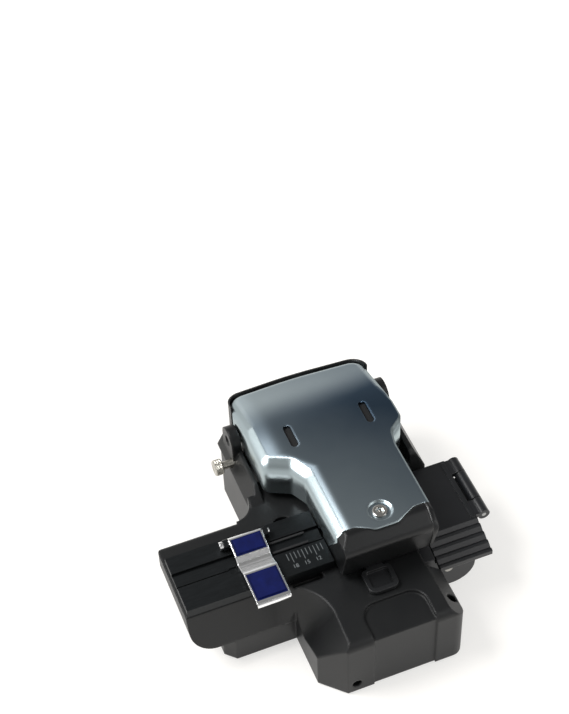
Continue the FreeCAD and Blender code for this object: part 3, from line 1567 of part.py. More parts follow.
def collector_lid():
    """The lid: flat plate, ribbed finger grip that falls away in front, two hinge knuckles."""
    body = new_body("collector_lid")
    grip_back = lid_y[0] + dim.lid_grip
    ribs = 4
    run = dim.lid_grip / ribs
    fall = dim.grip_drop / ribs
    top = [(lid_y[1] - dim.hinge_gap, lid_top), (grip_back, lid_top)]
    for rib in range(ribs):
        foot_y = grip_back - run * (rib + 1)
        foot_z = lid_top - fall * (rib + 1)
        top.append((foot_y + run * 0.55, foot_z - dim.grip_rib + fall * 0.5))
        top.append((foot_y + run * 0.30, foot_z + dim.grip_rib * 0.5))
        top.append((foot_y, foot_z))
    bottom = [
        (lid_y[0], lid_low - dim.grip_drop),
        (grip_back, lid_low),
        (lid_y[1] - dim.hinge_gap, lid_low),
    ]
    pad(body, "YZ", lid_x, top + bottom)
    border_high = lid_x[1] - dim.lid_border_inset
    border_x = (border_high - dim.lid_border, border_high)
    border_y = (grip_back + 0.5, lid_y[1] - 1)
    pad(body, "XY", (lid_top, lid_top + dim.lid_border_rise), rectangle(
        border_x, border_y, dim.lid_border_inset))
    front, back, _ = barrel_spans()
    for span in (front, back):
        knuckle(body, span, lid_x[1] - 0.5, (lid_low, lid_top))
        pocket(body, "XZ", span, circles=[
            (lid_hinge_x, lid_hinge_z, dim.lid_pin_radius + dim.running_gap)])
    sub_part(body, "collector_lid")
    pin = rod("lid_pin_shank", "Y", barrel_y, (lid_hinge_x, lid_hinge_z), dim.lid_pin_radius)
    sub_part(pin, "collector_pin")


base_housing()
underside()
fibre_plate()
fibre_clip()
blade_carriage()
blade_wheel()
fibre_clamps()
lever_cover()
lever_frame()
lever_fittings()
return_spring()
collector_bin()
collector_lid()


# ---------------------------------------------------------------- writing

def check_and_write():
    doc.recompute()
    for obj in doc.Objects:
        if "Invalid" in obj.State or "Error" in obj.State:
            raise RuntimeError(f"{obj.Name} failed: {obj.State}")
    for obj in sub_parts:
        if obj.Shape.isNull() or not obj.Shape.isValid():
            raise RuntimeError(f"{obj.Label} has no valid shape")
    os.makedirs("parts", exist_ok=True)
    for obj in sub_parts:
        obj.Shape.exportStep(f"parts/{obj.Label}.step")
        print(obj.Label, len(obj.Shape.Solids), round(obj.Shape.Volume, 2), obj.Shape.BoundBox)


check_and_write()
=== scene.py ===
import math

import bmesh
import bpy
import numpy as np
from mathutils import Matrix, Vector


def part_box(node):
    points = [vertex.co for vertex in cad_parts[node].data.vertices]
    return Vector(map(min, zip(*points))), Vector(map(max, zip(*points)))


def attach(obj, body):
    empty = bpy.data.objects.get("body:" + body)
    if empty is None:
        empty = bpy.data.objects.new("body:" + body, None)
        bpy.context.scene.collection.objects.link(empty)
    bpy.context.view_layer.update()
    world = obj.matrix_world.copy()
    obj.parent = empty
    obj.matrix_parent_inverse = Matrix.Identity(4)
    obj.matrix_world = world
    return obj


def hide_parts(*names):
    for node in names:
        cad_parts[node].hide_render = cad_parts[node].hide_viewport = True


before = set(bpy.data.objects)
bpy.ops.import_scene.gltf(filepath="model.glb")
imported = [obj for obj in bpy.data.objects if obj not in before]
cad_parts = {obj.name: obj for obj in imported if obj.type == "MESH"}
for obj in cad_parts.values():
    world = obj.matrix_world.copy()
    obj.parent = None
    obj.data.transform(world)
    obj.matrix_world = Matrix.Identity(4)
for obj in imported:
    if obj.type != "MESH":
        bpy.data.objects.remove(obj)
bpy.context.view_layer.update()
MM = 0.001


# ---------------------------------------------------------------- camera, floor and light
# A camera on a tall tripod looks down at the closed tool on a sheet of white card.
# One broad soft lamp hangs above on the left, a weaker one stands on the right, and the
# white card and a pale room fill in the rest.

def linear(hex_colour):
    """sRGB hex to linear RGBA: each channel c becomes ((c + 0.055) / 1.055) ** 2.4,
    or c / 12.92 where it is dark."""
    channels = [int(hex_colour[i:i + 2], 16) / 255 for i in (1, 3, 5)]
    lin = [c / 12.92 if c <= 0.04045 else ((c + 0.055) / 1.055) ** 2.4 for c in channels]
    return (*lin, 1.0)


def shade(tree, kind, sockets=None, **settings):
    """Add one node: settings are its own properties, sockets its input values or links."""
    made = tree.nodes.new("ShaderNode" + kind)
    for name, value in settings.items():
        setattr(made, name, value)
    for name, value in (sockets or {}).items():
        if isinstance(value, bpy.types.NodeSocket):
            tree.links.new(value, made.inputs[name])
        else:
            made.inputs[name].default_value = value
    return made


def maths(tree, operation, *values):
    """One Math node on up to three values or links."""
    return shade(tree, "Math", dict(enumerate(values)), operation=operation).outputs[0]


def ramp(tree, value, span, result, **settings):
    """Carry a value from one span over to another, held at both ends."""
    return shade(tree, "MapRange", {
        "Value": value, "From Min": span[0], "From Max": span[1], "To Min": result[0],
        "To Max": result[1]}, **settings).outputs[0]


def add(name, data):
    """Put an object with that data into the scene."""
    made = bpy.data.objects.new(name, data)
    bpy.context.scene.collection.objects.link(made)
    return made


AZIMUTH, ELEVATION, ROLL = (math.radians(a) for a in (19.57, 47.43, -2.68))
TARGET = np.array([15.11, 62.67, 10.0]) * MM
DISTANCE = 474.26 * MM
back = np.array([
    -math.sin(AZIMUTH) * math.cos(ELEVATION),
    -math.cos(AZIMUTH) * math.cos(ELEVATION),
    math.sin(ELEVATION),
])
level = np.array([math.cos(AZIMUTH), -math.sin(AZIMUTH), 0.0])
upward = np.cross(back, level)
right = math.cos(ROLL) * level + math.sin(ROLL) * upward
above = -math.sin(ROLL) * level + math.cos(ROLL) * upward
spot = TARGET + back * DISTANCE
camera = add("camera", bpy.data.cameras.new("camera"))
camera.matrix_world = Matrix(np.vstack([
    np.column_stack([right, above, back, spot]), [0, 0, 0, 1]]).tolist())
camera.data.lens = 84.45
camera.data.sensor_width = 36
camera.data.clip_start = 0.01
bpy.context.scene.camera = camera
bpy.context.scene.view_settings.view_transform = "Standard"


def lamp(name, place, towards, size, power):
    """A square soft lamp of that size in metres, aimed at a point."""
    light = bpy.data.lights.new(name, "AREA")
    light.shape = "SQUARE"
    light.size = size
    light.energy = power
    holder = add(name, light)
    aim = Vector(towards) - Vector(place)
    holder.location = place
    holder.rotation_euler = aim.to_track_quat("-Z", "Y").to_euler()


MIDDLE = (0, 0, 0.01)
lamp("soft_box_left", (-0.42, 0.16, 0.62), MIDDLE, size=0.34, power=5.6)
lamp("soft_box_right", (0.45, -0.35, 0.5), MIDDLE, size=0.5, power=1.6)

world = bpy.data.worlds.new("pale_room")
bpy.context.scene.world = world
world.use_nodes = True
room = world.node_tree
room.nodes.clear()
ray = shade(room, "LightPath").outputs
seen = maths(room, "MAXIMUM", ray["Is Camera Ray"], ray["Is Transmission Ray"])
gaze = shade(room, "TexCoord").outputs["Generated"]
parts = shade(room, "SeparateXYZ", {"Vector": gaze}).outputs
# The room is brightest low down on the left and dims towards the ceiling and the right.
leftward = maths(room, "MULTIPLY", parts["X"], -0.38)
lower = maths(room, "MULTIPLY_ADD", parts["Z"], -0.95, leftward)
glow = ramp(room, lower, (-0.9, 0.12), (0.2, 1.0), interpolation_type="SMOOTHSTEP")
DULL, FULL = 0.52, 1.0
mirrored = shade(room, "Mix", {"Factor": ray["Is Glossy Ray"], 2: DULL, 3: glow},
                 data_type="FLOAT")
strength = shade(room, "Mix", {"Factor": seen, 2: mirrored.outputs[0], 3: FULL},
                 data_type="FLOAT")
sky = shade(room, "Background", {"Color": linear("#fdfdfc"), "Strength": strength.outputs[0]})
shade(room, "OutputWorld", {"Surface": sky.outputs[0]})

sheet = [(x, y, 0.0) for x in (-4.0, 4.0) for y in (-3.0, 5.0)]
flat = bpy.data.meshes.new("white_card")
flat.from_pydata(sheet, [], [(0, 2, 3, 1)])
card = add("white_card", flat)
paper = bpy.data.materials.new("uncoated_white_card")
paper.use_nodes = True
tree = paper.node_tree
tree.nodes.clear()
ray = shade(tree, "LightPath").outputs
matt = shade(tree, "BsdfDiffuse", {"Color": linear("#f4f3f1"), "Roughness": 0.4})
half = shade(tree, "BsdfDiffuse", {"Color": linear("#bdbab6"), "Roughness": 0.4})
white = shade(tree, "Emission", {"Color": linear("#fdfdfc"), "Strength": 0.58})
lifted = shade(tree, "AddShader", {0: half.outputs[0], 1: white.outputs[0]})
seen = maths(tree, "MAXIMUM", ray["Is Camera Ray"], ray["Is Glossy Ray"])
mixed = shade(tree, "MixShader", {0: seen, 1: matt.outputs[0], 2: lifted.outputs[0]})
shade(tree, "OutputMaterial", {"Surface": mixed.outputs[0]})
card.data.materials.append(paper)


# ---------------------------------------------------------------- base housing
# One moulding in black glass-filled nylon.  The mould was spark-eroded, which leaves a fine
# even grain that breaks up reflections.

def coat(material, *nodes):
    """Give CAD nodes their finish."""
    for node in nodes:
        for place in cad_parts[node].material_slots:
            place.material = material


def start(name):
    """A new material: itself, its node tree, its Principled shader and the object coordinates."""
    made = bpy.data.materials.new(name)
    made.use_nodes = True
    tree = made.node_tree
    tree.nodes.clear()
    shader = shade(tree, "BsdfPrincipled")
    shade(tree, "OutputMaterial", {"Surface": shader.outputs[0]})
    return made, tree, shader, shade(tree, "TexCoord").outputs["Object"]


def link(tree, shader, **values):
    """Set or link sockets of a shader; an underscore stands for a space in the socket's name."""
    for name, value in values.items():
        socket = shader.inputs[name.replace("_", " ")]
        if isinstance(value, bpy.types.NodeSocket):
            tree.links.new(value, socket)
        else:
            socket.default_value = value


def noise(tree, place, size_mm, detail):
    """Cloudy noise between 0 and 1, with patches of about a size in mm."""
    return shade(tree, "TexNoise", {
        "Vector": place, "Scale": 1 / (size_mm * MM), "Detail": detail}).outputs[0]


def tint(tree, factor, dark, pale):
    """Go from one colour to another by a factor; each is a hex colour or a link."""
    dark, pale = (linear(c) if isinstance(c, str) else c for c in (dark, pale))
    return shade(tree, "Mix", {"Factor": factor, 6: dark, 7: pale}, data_type="RGBA").outputs[2]


def eased(tree, radius_mm, samples=6):
    """World normals that light the edges as if rounded to a radius."""
    return shade(tree, "Bevel", {"Radius": radius_mm * MM}, samples=samples).outputs[0]


def raised(tree, height, depth_mm, strength, normal=None):
    """World normals of a relief with a depth in mm, over other normals where given."""
    sockets = {"Strength": strength, "Distance": depth_mm * MM, "Height": height}
    if normal is not None:
        sockets["Normal"] = normal
    return shade(tree, "Bump", sockets).outputs[0]


def moulded(name, dark, pale, rough, grain_mm, depth_mm, edge_mm=0.25, index=1.5):
    """Moulded plastic or rubber: two close tones drift across it over some 9 mm, grains of a
    given size in mm stand up by a given depth, and edges catch light as if rounded."""
    made, tree, shader, place = start(name)
    drift = noise(tree, place, 9, detail=3.0)
    grain = noise(tree, place, grain_mm, detail=2.0)
    link(tree, shader, Base_Color=tint(tree, drift, dark, pale),
         Roughness=ramp(tree, drift, (0.0, 1.0), (rough - 0.05, rough + 0.05)),
         Normal=raised(tree, grain, depth_mm, strength=1.0, normal=eased(tree, edge_mm)), IOR=index)
    return made


# The eroded grain is about 0.05 mm across; it is drawn at 0.22 mm so that it shows.
nylon = moulded(
    "glass_filled_nylon_spark_eroded", "#101113", "#181919", rough=0.42, grain_mm=0.22,
    depth_mm=0.014, edge_mm=0.8, index=1.4)
coat(nylon, "base_housing")


# ---------------------------------------------------------------- underside
# A blackened steel floor plate closes the carriage's channel.  Four cross-head screws hold it,
# and four turned rubber feet are pressed into blind holes.

blacked, tree, shader, place = start("blackened_sheet_steel")
cloud = noise(tree, place, 4, detail=4.0)
link(tree, shader, Base_Color=tint(tree, cloud, "#232425", "#3a3b3d"), Metallic=0.6,
     Roughness=ramp(tree, cloud, (0.0, 1.0), (0.34, 0.5)))
coat(blacked, "floor_plate")

rubber = moulded(
    "nitrile_rubber_moulded", "#141414", "#1d1d1c", rough=0.8, grain_mm=0.3, depth_mm=0.01,
    edge_mm=0.2)
coat(rubber, "rubber_feet", "lower_pad_left", "lower_pad_right", "upper_pad_left",
     "upper_pad_right")


def settle(name, work, mesh):
    """End the work on a mesh: smooth, with sharp edges over 35 degrees, and in the scene."""
    work.to_mesh(mesh)
    work.free()
    mesh.polygons.foreach_set("use_smooth", np.ones(len(mesh.polygons), bool))
    mesh.set_sharp_from_angle(angle=math.radians(35))
    return add(name, mesh)


def lathe_mesh(name, grid):
    """A closed mesh from points [u, v, xyz] in metres: each square of four neighbours is a face
    and the last v joins the first.  Points that fall together at a pole are merged, what is
    open is filled, and the faces point outwards."""
    nu, nv = grid.shape[:2]
    number = np.arange(nu * nv).reshape(nu, nv)
    u, v = np.meshgrid(np.arange(nu - 1), np.arange(nv), indexing="ij")
    beside = (v + 1) % nv
    faces = np.stack([number[u, v], number[u + 1, v], number[u + 1, beside], number[u, beside]], -1)
    mesh = bpy.data.meshes.new(name)
    mesh.from_pydata(grid.reshape(-1, 3).tolist(), [], faces.reshape(-1, 4).tolist())
    work = bmesh.new()
    work.from_mesh(mesh)
    bmesh.ops.remove_doubles(work, verts=work.verts, dist=1e-7)
    bmesh.ops.dissolve_degenerate(work, edges=work.edges, dist=1e-8)
    rims = [e for e in work.edges if e.is_boundary]
    if rims:
        bmesh.ops.holes_fill(work, edges=rims)
    bmesh.ops.recalc_face_normals(work, faces=work.faces)
    return settle(name, work, mesh)


def turned(profile, steps, relief):
    """A profile of (height, radius) pairs turned round the Z axis, as an array of points.
    relief(height, radius, angle) returns moved heights and radii."""
    profile = np.asarray(profile, float)
    angle = np.linspace(0, 2 * np.pi, steps, endpoint=False)
    height = np.repeat(profile[:, :1], steps, 1)
    radius = np.repeat(profile[:, 1:], steps, 1)
    turn = np.repeat(angle[None], len(profile), 0)
    height, radius = relief(height, radius, turn)
    return np.stack([radius * np.cos(turn), radius * np.sin(turn), height], -1)


AXES = {
    "+X": [[0, 0, 1], [0, 1, 0], [-1, 0, 0]],
    "+Z": [[1, 0, 0], [0, 1, 0], [0, 0, 1]],
    "-Z": [[1, 0, 0], [0, -1, 0], [0, 0, -1]],
}


def stand(points, axis, centre):
    """Turn points made along +Z to an axis and move them to a centre, in mm to metres."""
    return (points @ np.array(AXES[axis], float).T + np.asarray(centre, float)) * MM


def join(name, pieces):
    """Make one mesh object of several, so that like pieces share one name."""
    work = bmesh.new()
    for piece in pieces:
        work.from_mesh(piece.data)
        bpy.data.objects.remove(piece)
    return settle(name, work, bpy.data.meshes.new(name))


def wrought(name, dark, pale, rough, line_mm, axis):
    """Machined bright metal: fine lines of a given pitch lie across the axis."""
    made, tree, shader, place = start(name)
    stretch = {"X": (1, 0.05, 0.05), "Y": (0.05, 1, 0.05), "Z": (0.05, 0.05, 1)}[axis]
    drawn = shade(tree, "Mapping", {"Vector": place, "Scale": stretch})
    lines = noise(tree, drawn.outputs[0], line_mm, detail=3.0)
    link(tree, shader, Base_Color=tint(tree, lines, dark, pale), Metallic=1.0,
         Roughness=ramp(tree, lines, (0.0, 1.0), (rough - 0.06, rough + 0.08)),
         Normal=raised(tree, lines, 0.004, strength=0.6))
    return made


# Zinc-plated screws show the turning marks of the lathe, here 0.12 mm apart.
zinc = wrought(
    "zinc_plated_steel_turned", "#9c9a94", "#c9c7c0", rough=0.3, line_mm=0.12, axis="Z")


def cross_screw(head_radius, head_height, shank_radius, length):
    """A pan-head screw along +Z, head top at 0.  Its head falls off as a parabola, and a cross
    is sunk where either coordinate is within a fifth of the head's radius."""
    crown, point = 0.3 * head_height, 0.3
    arm, reach, depth = 0.2 * head_radius, 0.68 * head_radius, 0.5 * head_height
    head = [(-crown * a * a, head_radius * a) for a in np.linspace(0, 1, 14)]
    rest = [(-head_height, head_radius), (-head_height, shank_radius), (-length, shank_radius),
            (-length - point, 0.0)]

    def sink(height, radius, turn):
        near = np.minimum(np.abs(radius * np.cos(turn)), np.abs(radius * np.sin(turn)))
        inside = (near < arm) & (radius < reach) & (height > -head_height)
        return height - inside * depth, radius

    return turned(head + rest, 72, sink)


HEAD_RADIUS, HEAD_HEIGHT, SHANK_RADIUS, SCREW_LENGTH = 1.4, 0.75, 0.88, 3.7
SCREW_SUNK = 0.05
low, high = (np.array(corner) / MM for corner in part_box("floor_screws"))
heads = []
for x in (low[0] + HEAD_RADIUS, high[0] - HEAD_RADIUS):
    for y in (low[1] + HEAD_RADIUS, high[1] - HEAD_RADIUS):
        points = stand(cross_screw(HEAD_RADIUS, HEAD_HEIGHT, SHANK_RADIUS, SCREW_LENGTH), "-Z",
                       (x, y, low[2] + SCREW_SUNK))
        heads.append(lathe_mesh("floor_screw", points))
screws = join("cross_head_screws_under", heads)
screws.data.materials.append(zinc)
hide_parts("floor_screws")
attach(screws, "base")


# ---------------------------------------------------------------- fibre plate and its scale
# An extruded aluminium plate, hard-anodised black and screwed to the wing.  Two grooves carry
# black sponge-rubber cord beside the fibre's channel; a millimetre scale is engraved in front.

anodised, tree, shader, place = start("hard_anodised_aluminium_black")
drawn = shade(tree, "Mapping", {"Vector": place, "Scale": (0.08, 1, 1)})
lines = noise(tree, drawn.outputs[0], 0.25, detail=4.0)
link(tree, shader, Base_Color=tint(tree, lines, "#17191a", "#25282a"), Metallic=0.75,
     Roughness=ramp(tree, lines, (0.0, 1.0), (0.34, 0.5)),
     Normal=raised(tree, lines, 0.006, strength=0.5, normal=eased(tree, 0.2)))
coat(anodised, "fibre_plate")

ink, tree, shader, place = start("white_filled_engraving")
speck = noise(tree, place, 0.3, detail=2.0)
link(tree, shader, Base_Color=tint(tree, speck, "#55595b", "#7e8284"), Roughness=0.6)


def bars(name, boxes):
    """Thin straight bars as closed boxes.  Each row is x0, x1, y0, y1, z0, z1 in mm, and the
    eight corners of every bar are picked from it in one step."""
    boxes = np.asarray(boxes, float)
    corner = np.array([[0, 2, 4], [1, 2, 4], [1, 3, 4], [0, 3, 4],
                       [0, 2, 5], [1, 2, 5], [1, 3, 5], [0, 3, 5]])
    points = boxes[:, corner] * MM
    side = np.array([[0, 3, 2, 1], [4, 5, 6, 7], [0, 1, 5, 4], [1, 2, 6, 5], [2, 3, 7, 6],
                     [3, 0, 4, 7]])
    faces = side[None] + 8 * np.arange(len(boxes))[:, None, None]
    mesh = bpy.data.meshes.new(name)
    mesh.from_pydata(points.reshape(-1, 3).tolist(), [], faces.reshape(-1, 4).tolist())
    return add(name, mesh)


PLATE_TOP = 22.85
CORD_X, CORD_Y, CORD_HALF = (-15.6, -6.2), (-5.45, -8.4), 0.28
CORD_Z = (PLATE_TOP - 0.05, PLATE_TOP + 0.22)
cord = moulded(
    "sponge_rubber_cord_black", "#0d0d0e", "#18181a", rough=0.75, grain_mm=0.15, depth_mm=0.02,
    edge_mm=0.15)
rails = bars("plate_cords", [[*CORD_X, y - CORD_HALF, y + CORD_HALF, *CORD_Z] for y in CORD_Y])
rails.data.materials.append(cord)
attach(rails, "base")

# The scale counts millimetres from the blade.  Every third line is long and has its number.
BLADE = 6.3
TICK_HALF, TICK_BACK, TICK_SHORT, TICK_LONG = 0.07, -9.9, -12.0, -12.9
TICK_Z = (PLATE_TOP - 0.02, PLATE_TOP + 0.03)
NUMERAL_SIZE, NUMERAL_Y, NUMERAL_Z, NUMERAL_THICK = 1.55, -14.6, PLATE_TOP + 0.01, 0.02
reach = np.arange(10, 20)
long = reach % 3 == 0
ticks = [
    [BLADE - value - TICK_HALF, BLADE - value + TICK_HALF, TICK_LONG if far else TICK_SHORT,
     TICK_BACK, *TICK_Z] for value, far in zip(reach, long)]
marks = [bars("millimetre_scale", ticks)]
for value in reach[long]:
    text = bpy.data.curves.new("numeral", "FONT")
    text.body = str(value)
    text.size = NUMERAL_SIZE * MM
    text.align_x = "CENTER"
    text.extrude = NUMERAL_THICK * MM
    holder = add("numeral", text)
    mesh = bpy.data.meshes.new_from_object(holder)
    mesh.transform(Matrix.Translation(Vector((BLADE - value, NUMERAL_Y, NUMERAL_Z)) * MM))
    bpy.data.objects.remove(holder)
    marks.append(add("numeral", mesh))
scale = join("millimetre_scale_engraved", marks)
scale.data.materials.clear()
scale.data.materials.append(ink)
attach(scale, "base")


# ---------------------------------------------------------------- sprung fibre clip
# A leaf of 0.6 mm spring steel, bent, beaded and chromed.  Two sunk panels are filled with
# royal-blue enamel, which laps over the edges of the panels and leaves a bright rim, and the
# thumb end is rolled down into a bright lip.

def facing(tree, normal):
    """The X, Y and Z of a world normal in the piece's own directions."""
    own = shade(tree, "VectorTransform", {"Vector": normal}, vector_type="NORMAL",
                convert_from="WORLD", convert_to="OBJECT")
    return shade(tree, "SeparateXYZ", {"Vector": own.outputs[0]}).outputs


# The middle and half size, in mm, of the two enamelled fields across and along the leaf.
FIELD_X, FIELDS_Y = (-20.55, 3.95), ((-17.4, 4.1), (-4.85, 2.35))
chrome, tree, shader, place = start("bright_chromed_spring_steel")
cloud = noise(tree, place, 1.5, detail=3.0)
edges = eased(tree, 0.35, 8)
along = shade(tree, "Mapping", {"Vector": place, "Scale": (0.12, 1, 1)})
ripple = noise(tree, along.outputs[0], 1.4, detail=0.0)
at = shade(tree, "SeparateXYZ", {"Vector": place}).outputs
field_x, *fields_y = (
    maths(tree, "COMPARE", at[axis], middle * MM, half_size * MM)
    for axis, (middle, half_size) in zip("XYY", (FIELD_X, *FIELDS_Y)))
upper = maths(tree, "GREATER_THAN", facing(tree, edges)["Z"], 0.8)
lapped = maths(tree, "MULTIPLY", maths(tree, "MULTIPLY", upper, field_x),
               maths(tree, "ADD", *fields_y))
metal = tint(tree, cloud, "#f6f6f7", "#ffffff")
link(tree, shader, Base_Color=tint(tree, lapped, metal, "#06103f"),
     Metallic=maths(tree, "SUBTRACT", 1.0, lapped), IOR=1.4,
     Roughness=ramp(tree, cloud, (0.0, 1.0), (0.14, 0.26)),
     Normal=raised(tree, ripple, 0.03, strength=1.0, normal=edges))
coat(chrome, "clip_leaf", "clip_pin")
nickel = wrought("nickel_plated_turned", "#b9b7b2", "#e0deda", rough=0.2, line_mm=0.1, axis="Z")
coat(nickel, "clip_magnet")

enamel, tree, shader, place = start("royal_blue_enamel_fired")
cloud = noise(tree, place, 2.2, detail=5.0)
link(tree, shader, Base_Color=tint(tree, cloud, "#03082e", "#0b1757"), Roughness=0.22, IOR=1.4,
     Coat_Weight=0.25, Coat_Roughness=0.06)
coat(enamel, "clip_panel_rear", "clip_panel_front")


# ---------------------------------------------------------------- blade carriage and wheel
# A milled block runs on two ground rods.  Its black finger tab lies on the deck; the hardened
# wheel turns on a short axle inside.

milled = moulded(
    "hard_coated_aluminium_black", "#161718", "#212224", rough=0.38, grain_mm=0.2,
    depth_mm=0.006, edge_mm=0.3)
coat(milled, "blade_carriage")
ground = wrought("ground_steel_rod", "#8f9190", "#c4c5c3", rough=0.22, line_mm=0.1, axis="Y")
coat(ground, "guide_rods", "blade_axle", "hinge_pin", "hanger_posts", "collector_pin")
carbide = wrought(
    "tungsten_carbide_lapped", "#7e8288", "#b9bdc1", rough=0.16, line_mm=0.4, axis="X")
coat(carbide, "blade_wheel")


# ---------------------------------------------------------------- clamps beside the blade
# Aluminium holders with rubber faces stand below and above the fibre, and between them a white
# acetal anvil bends it over the score.

holder_metal = wrought(
    "clear_anodised_aluminium", "#8b8f92", "#b3b6b8", rough=0.36, line_mm=0.2, axis="X")
coat(holder_metal, "lower_clamp_left", "lower_clamp_right", "clamp_hanger")
acetal = moulded(
    "acetal_machined_white", "#dcdcd6", "#efefe9", rough=0.35, grain_mm=0.3, depth_mm=0.003,
    edge_mm=0.1)
coat(acetal, "anvil")


# ---------------------------------------------------------------- lever
# A die-cast aluminium cover, bead-blasted and anodised slate, with its upper edge cut bright
# after anodising.  It is held to the moulded black frame by one socket screw in a dish.

LEVER_TOP = 35.0
RIM_RADIUS, RIM_EDGE, RIM_STEEPEST = 9.0, 0.9, 0.88
FALL_FROM, FALL, BOW = 22.4, 0.32, 9.0
WAIST = (4 * MM, 11 * MM)
LEFT_RIM_X, SIDE_WIDTH, SIDE_LEAN = (-0.3 * MM, -8.8 * MM), (3 * MM, 6.5 * MM), -0.44
# The next two lines set painted light on the top: where its lit back slope begins and ends, and how
# fast the top is painted paler to the left and to the front.
LIT_BACK_SLOPE = (20 * MM, 33 * MM)
PAINTED_PALER_LEFT, PAINTED_PALER_FRONT = 0.014, 0.016  # for each mm
SLOTS_X, SLOT_Y, SLOT_REACH = (-1.1, 19.6), 15.3, 4.3
SKIRT_END = (19.0, -17.0)


def rounded_rim(tree, at, lean, keep):
    """World normals of a rim rolled over under the top's edge, and the mask of its walls.

    At a depth d below the edge the wall leans by the angle whose cosine is 1 - d / RIM_RADIUS.
    Behind FALL_FROM the edge drops by FALL for each unit of length, and the flat top bows over
    into that slope within BOW mm on each side.  lean tips the top's normal sideways, and walls
    where keep is 0 stay as cut."""
    way = facing(tree, eased(tree, RIM_EDGE, 8))
    past = maths(tree, "MAXIMUM", maths(tree, "SUBTRACT", at["Y"], FALL_FROM * MM), 0.0)
    edge = maths(tree, "MULTIPLY_ADD", past, -FALL, LEVER_TOP * MM)
    depth = maths(tree, "DIVIDE", maths(tree, "SUBTRACT", edge, at["Z"]), RIM_RADIUS * MM)
    rise = maths(tree, "MAXIMUM", maths(tree, "SUBTRACT", 1.0, depth), 0.0)
    rise = maths(tree, "MINIMUM", rise, RIM_STEEPEST)
    square = maths(tree, "MULTIPLY_ADD", maths(tree, "MULTIPLY", rise, -1.0), rise, 1.0)
    out = maths(tree, "SQRT", square)
    bow = ramp(tree, at["Y"], ((FALL_FROM - BOW) * MM, (FALL_FROM + BOW) * MM), (0.0, FALL),
               interpolation_type="SMOOTHSTEP")
    sideways = maths(tree, "ADD", way["X"], lean)
    top = shade(tree, "CombineXYZ", {"X": sideways, "Y": bow, "Z": way["Z"]})
    smooth = shade(tree, "VectorMath", {0: top.outputs[0]}, operation="NORMALIZE")
    flat = shade(tree, "CombineXYZ", {"X": way["X"], "Y": way["Y"]})
    level = shade(tree, "VectorMath", {0: flat.outputs[0]}, operation="NORMALIZE")
    spread = shade(tree, "VectorMath", {0: level.outputs[0], "Scale": out}, operation="SCALE")
    lifted = shade(tree, "CombineXYZ", {"Z": rise})
    rolled = shade(tree, "VectorMath", {0: spread.outputs[0], 1: lifted.outputs[0]},
                   operation="ADD")
    wall = maths(tree, "MULTIPLY", ramp(tree, way["Z"], (0.9, 0.8), (0.0, 1.0)), keep)
    blend = shade(tree, "Mix", {"Factor": wall, 4: smooth.outputs[0], 5: rolled.outputs[0]},
                  data_type="VECTOR")
    world_way = shade(tree, "VectorTransform", {"Vector": blend.outputs[1]},
                      vector_type="NORMAL", convert_from="OBJECT", convert_to="WORLD")
    return world_way.outputs[0], wall


slate, tree, shader, place = start("aluminium_blasted_anodised_slate")
at = shade(tree, "SeparateXYZ", {"Vector": place}).outputs
# The top rolls over beside its left rim, which steps out behind the waist: over 3 mm in front
# of the waist and over 6.5 mm behind it.
left_rim = ramp(tree, at["Y"], WAIST, LEFT_RIM_X)
width = ramp(tree, at["Y"], WAIST, SIDE_WIDTH)
lean = ramp(tree, maths(tree, "SUBTRACT", at["X"], left_rim), (0.0, width), (SIDE_LEAN, 0.0),
            interpolation_type="SMOOTHERSTEP")
# The two slots are sawn square and keep the dark dye.
beyond_slots = 1.0
for slot_x in SLOTS_X:
    gap = shade(tree, "VectorMath", {0: place, 1: (slot_x * MM, SLOT_Y * MM, LEVER_TOP * MM)},
                operation="DISTANCE")
    beyond = maths(tree, "GREATER_THAN", gap.outputs[1], SLOT_REACH * MM)
    beyond_slots = maths(tree, "MULTIPLY", beyond, beyond_slots)
rolled, wall = rounded_rim(tree, at, lean, beyond_slots)
blast = noise(tree, place, 0.16, detail=3.0)
# Painted light: the top's tone is painted paler towards the front and the left, where it catches
# more of the room's light, and paler again down the falling back slope, which is lit more; a slow
# cloud varies it at random.
pale = maths(tree, "MULTIPLY_ADD", at["X"], -PAINTED_PALER_LEFT / MM, 0.5)
pale = maths(tree, "MULTIPLY_ADD", at["Y"], -PAINTED_PALER_FRONT / MM, pale)
lit_back_slope = ramp(tree, at["Y"], LIT_BACK_SLOPE, (0.0, 0.85), interpolation_type="SMOOTHSTEP")
pale = maths(tree, "ADD", pale, lit_back_slope)
pale = maths(tree, "MULTIPLY_ADD", noise(tree, place, 14, detail=2.0), 0.2, pale)
painted_light_fade = ramp(tree, pale, (0.0, 1.0), (0.0, 1.0))
# Painted light: the top takes that painted gradient from dark slate to pale, and the rolled walls
# take the bright cut colour.
bright = tint(tree, wall, tint(tree, painted_light_fade, "#46586a", "#aab6bb"), "#a7b3b6")
# The right skirt's front end carries the frame's black finish, so that the nose looks like one
# piece.
behind = maths(tree, "GREATER_THAN", at["Y"], SKIRT_END[1] * MM)
leftward = maths(tree, "LESS_THAN", at["X"], SKIRT_END[0] * MM)
bare = maths(tree, "MAXIMUM", behind, leftward)
link(tree, shader, Base_Color=tint(tree, bare, "#101112", bright), Metallic=bare,
     Roughness=ramp(tree, wall, (0.0, 1.0), (0.34, 0.3)),
     Normal=raised(tree, blast, 0.009, strength=0.5, normal=rolled))
coat(slate, "lever_cover")

abs_black = moulded(
    "abs_moulded_black", "#0c0d0e", "#131415", rough=0.36, grain_mm=0.2, depth_mm=0.008,
    edge_mm=0.9, index=1.42)
coat(abs_black, "lever_frame")
pitch = moulded(
    "rubber_plug_black", "#060606", "#0c0c0d", rough=0.7, grain_mm=0.2, depth_mm=0.004,
    edge_mm=0.1)
coat(pitch, "slot_inserts")


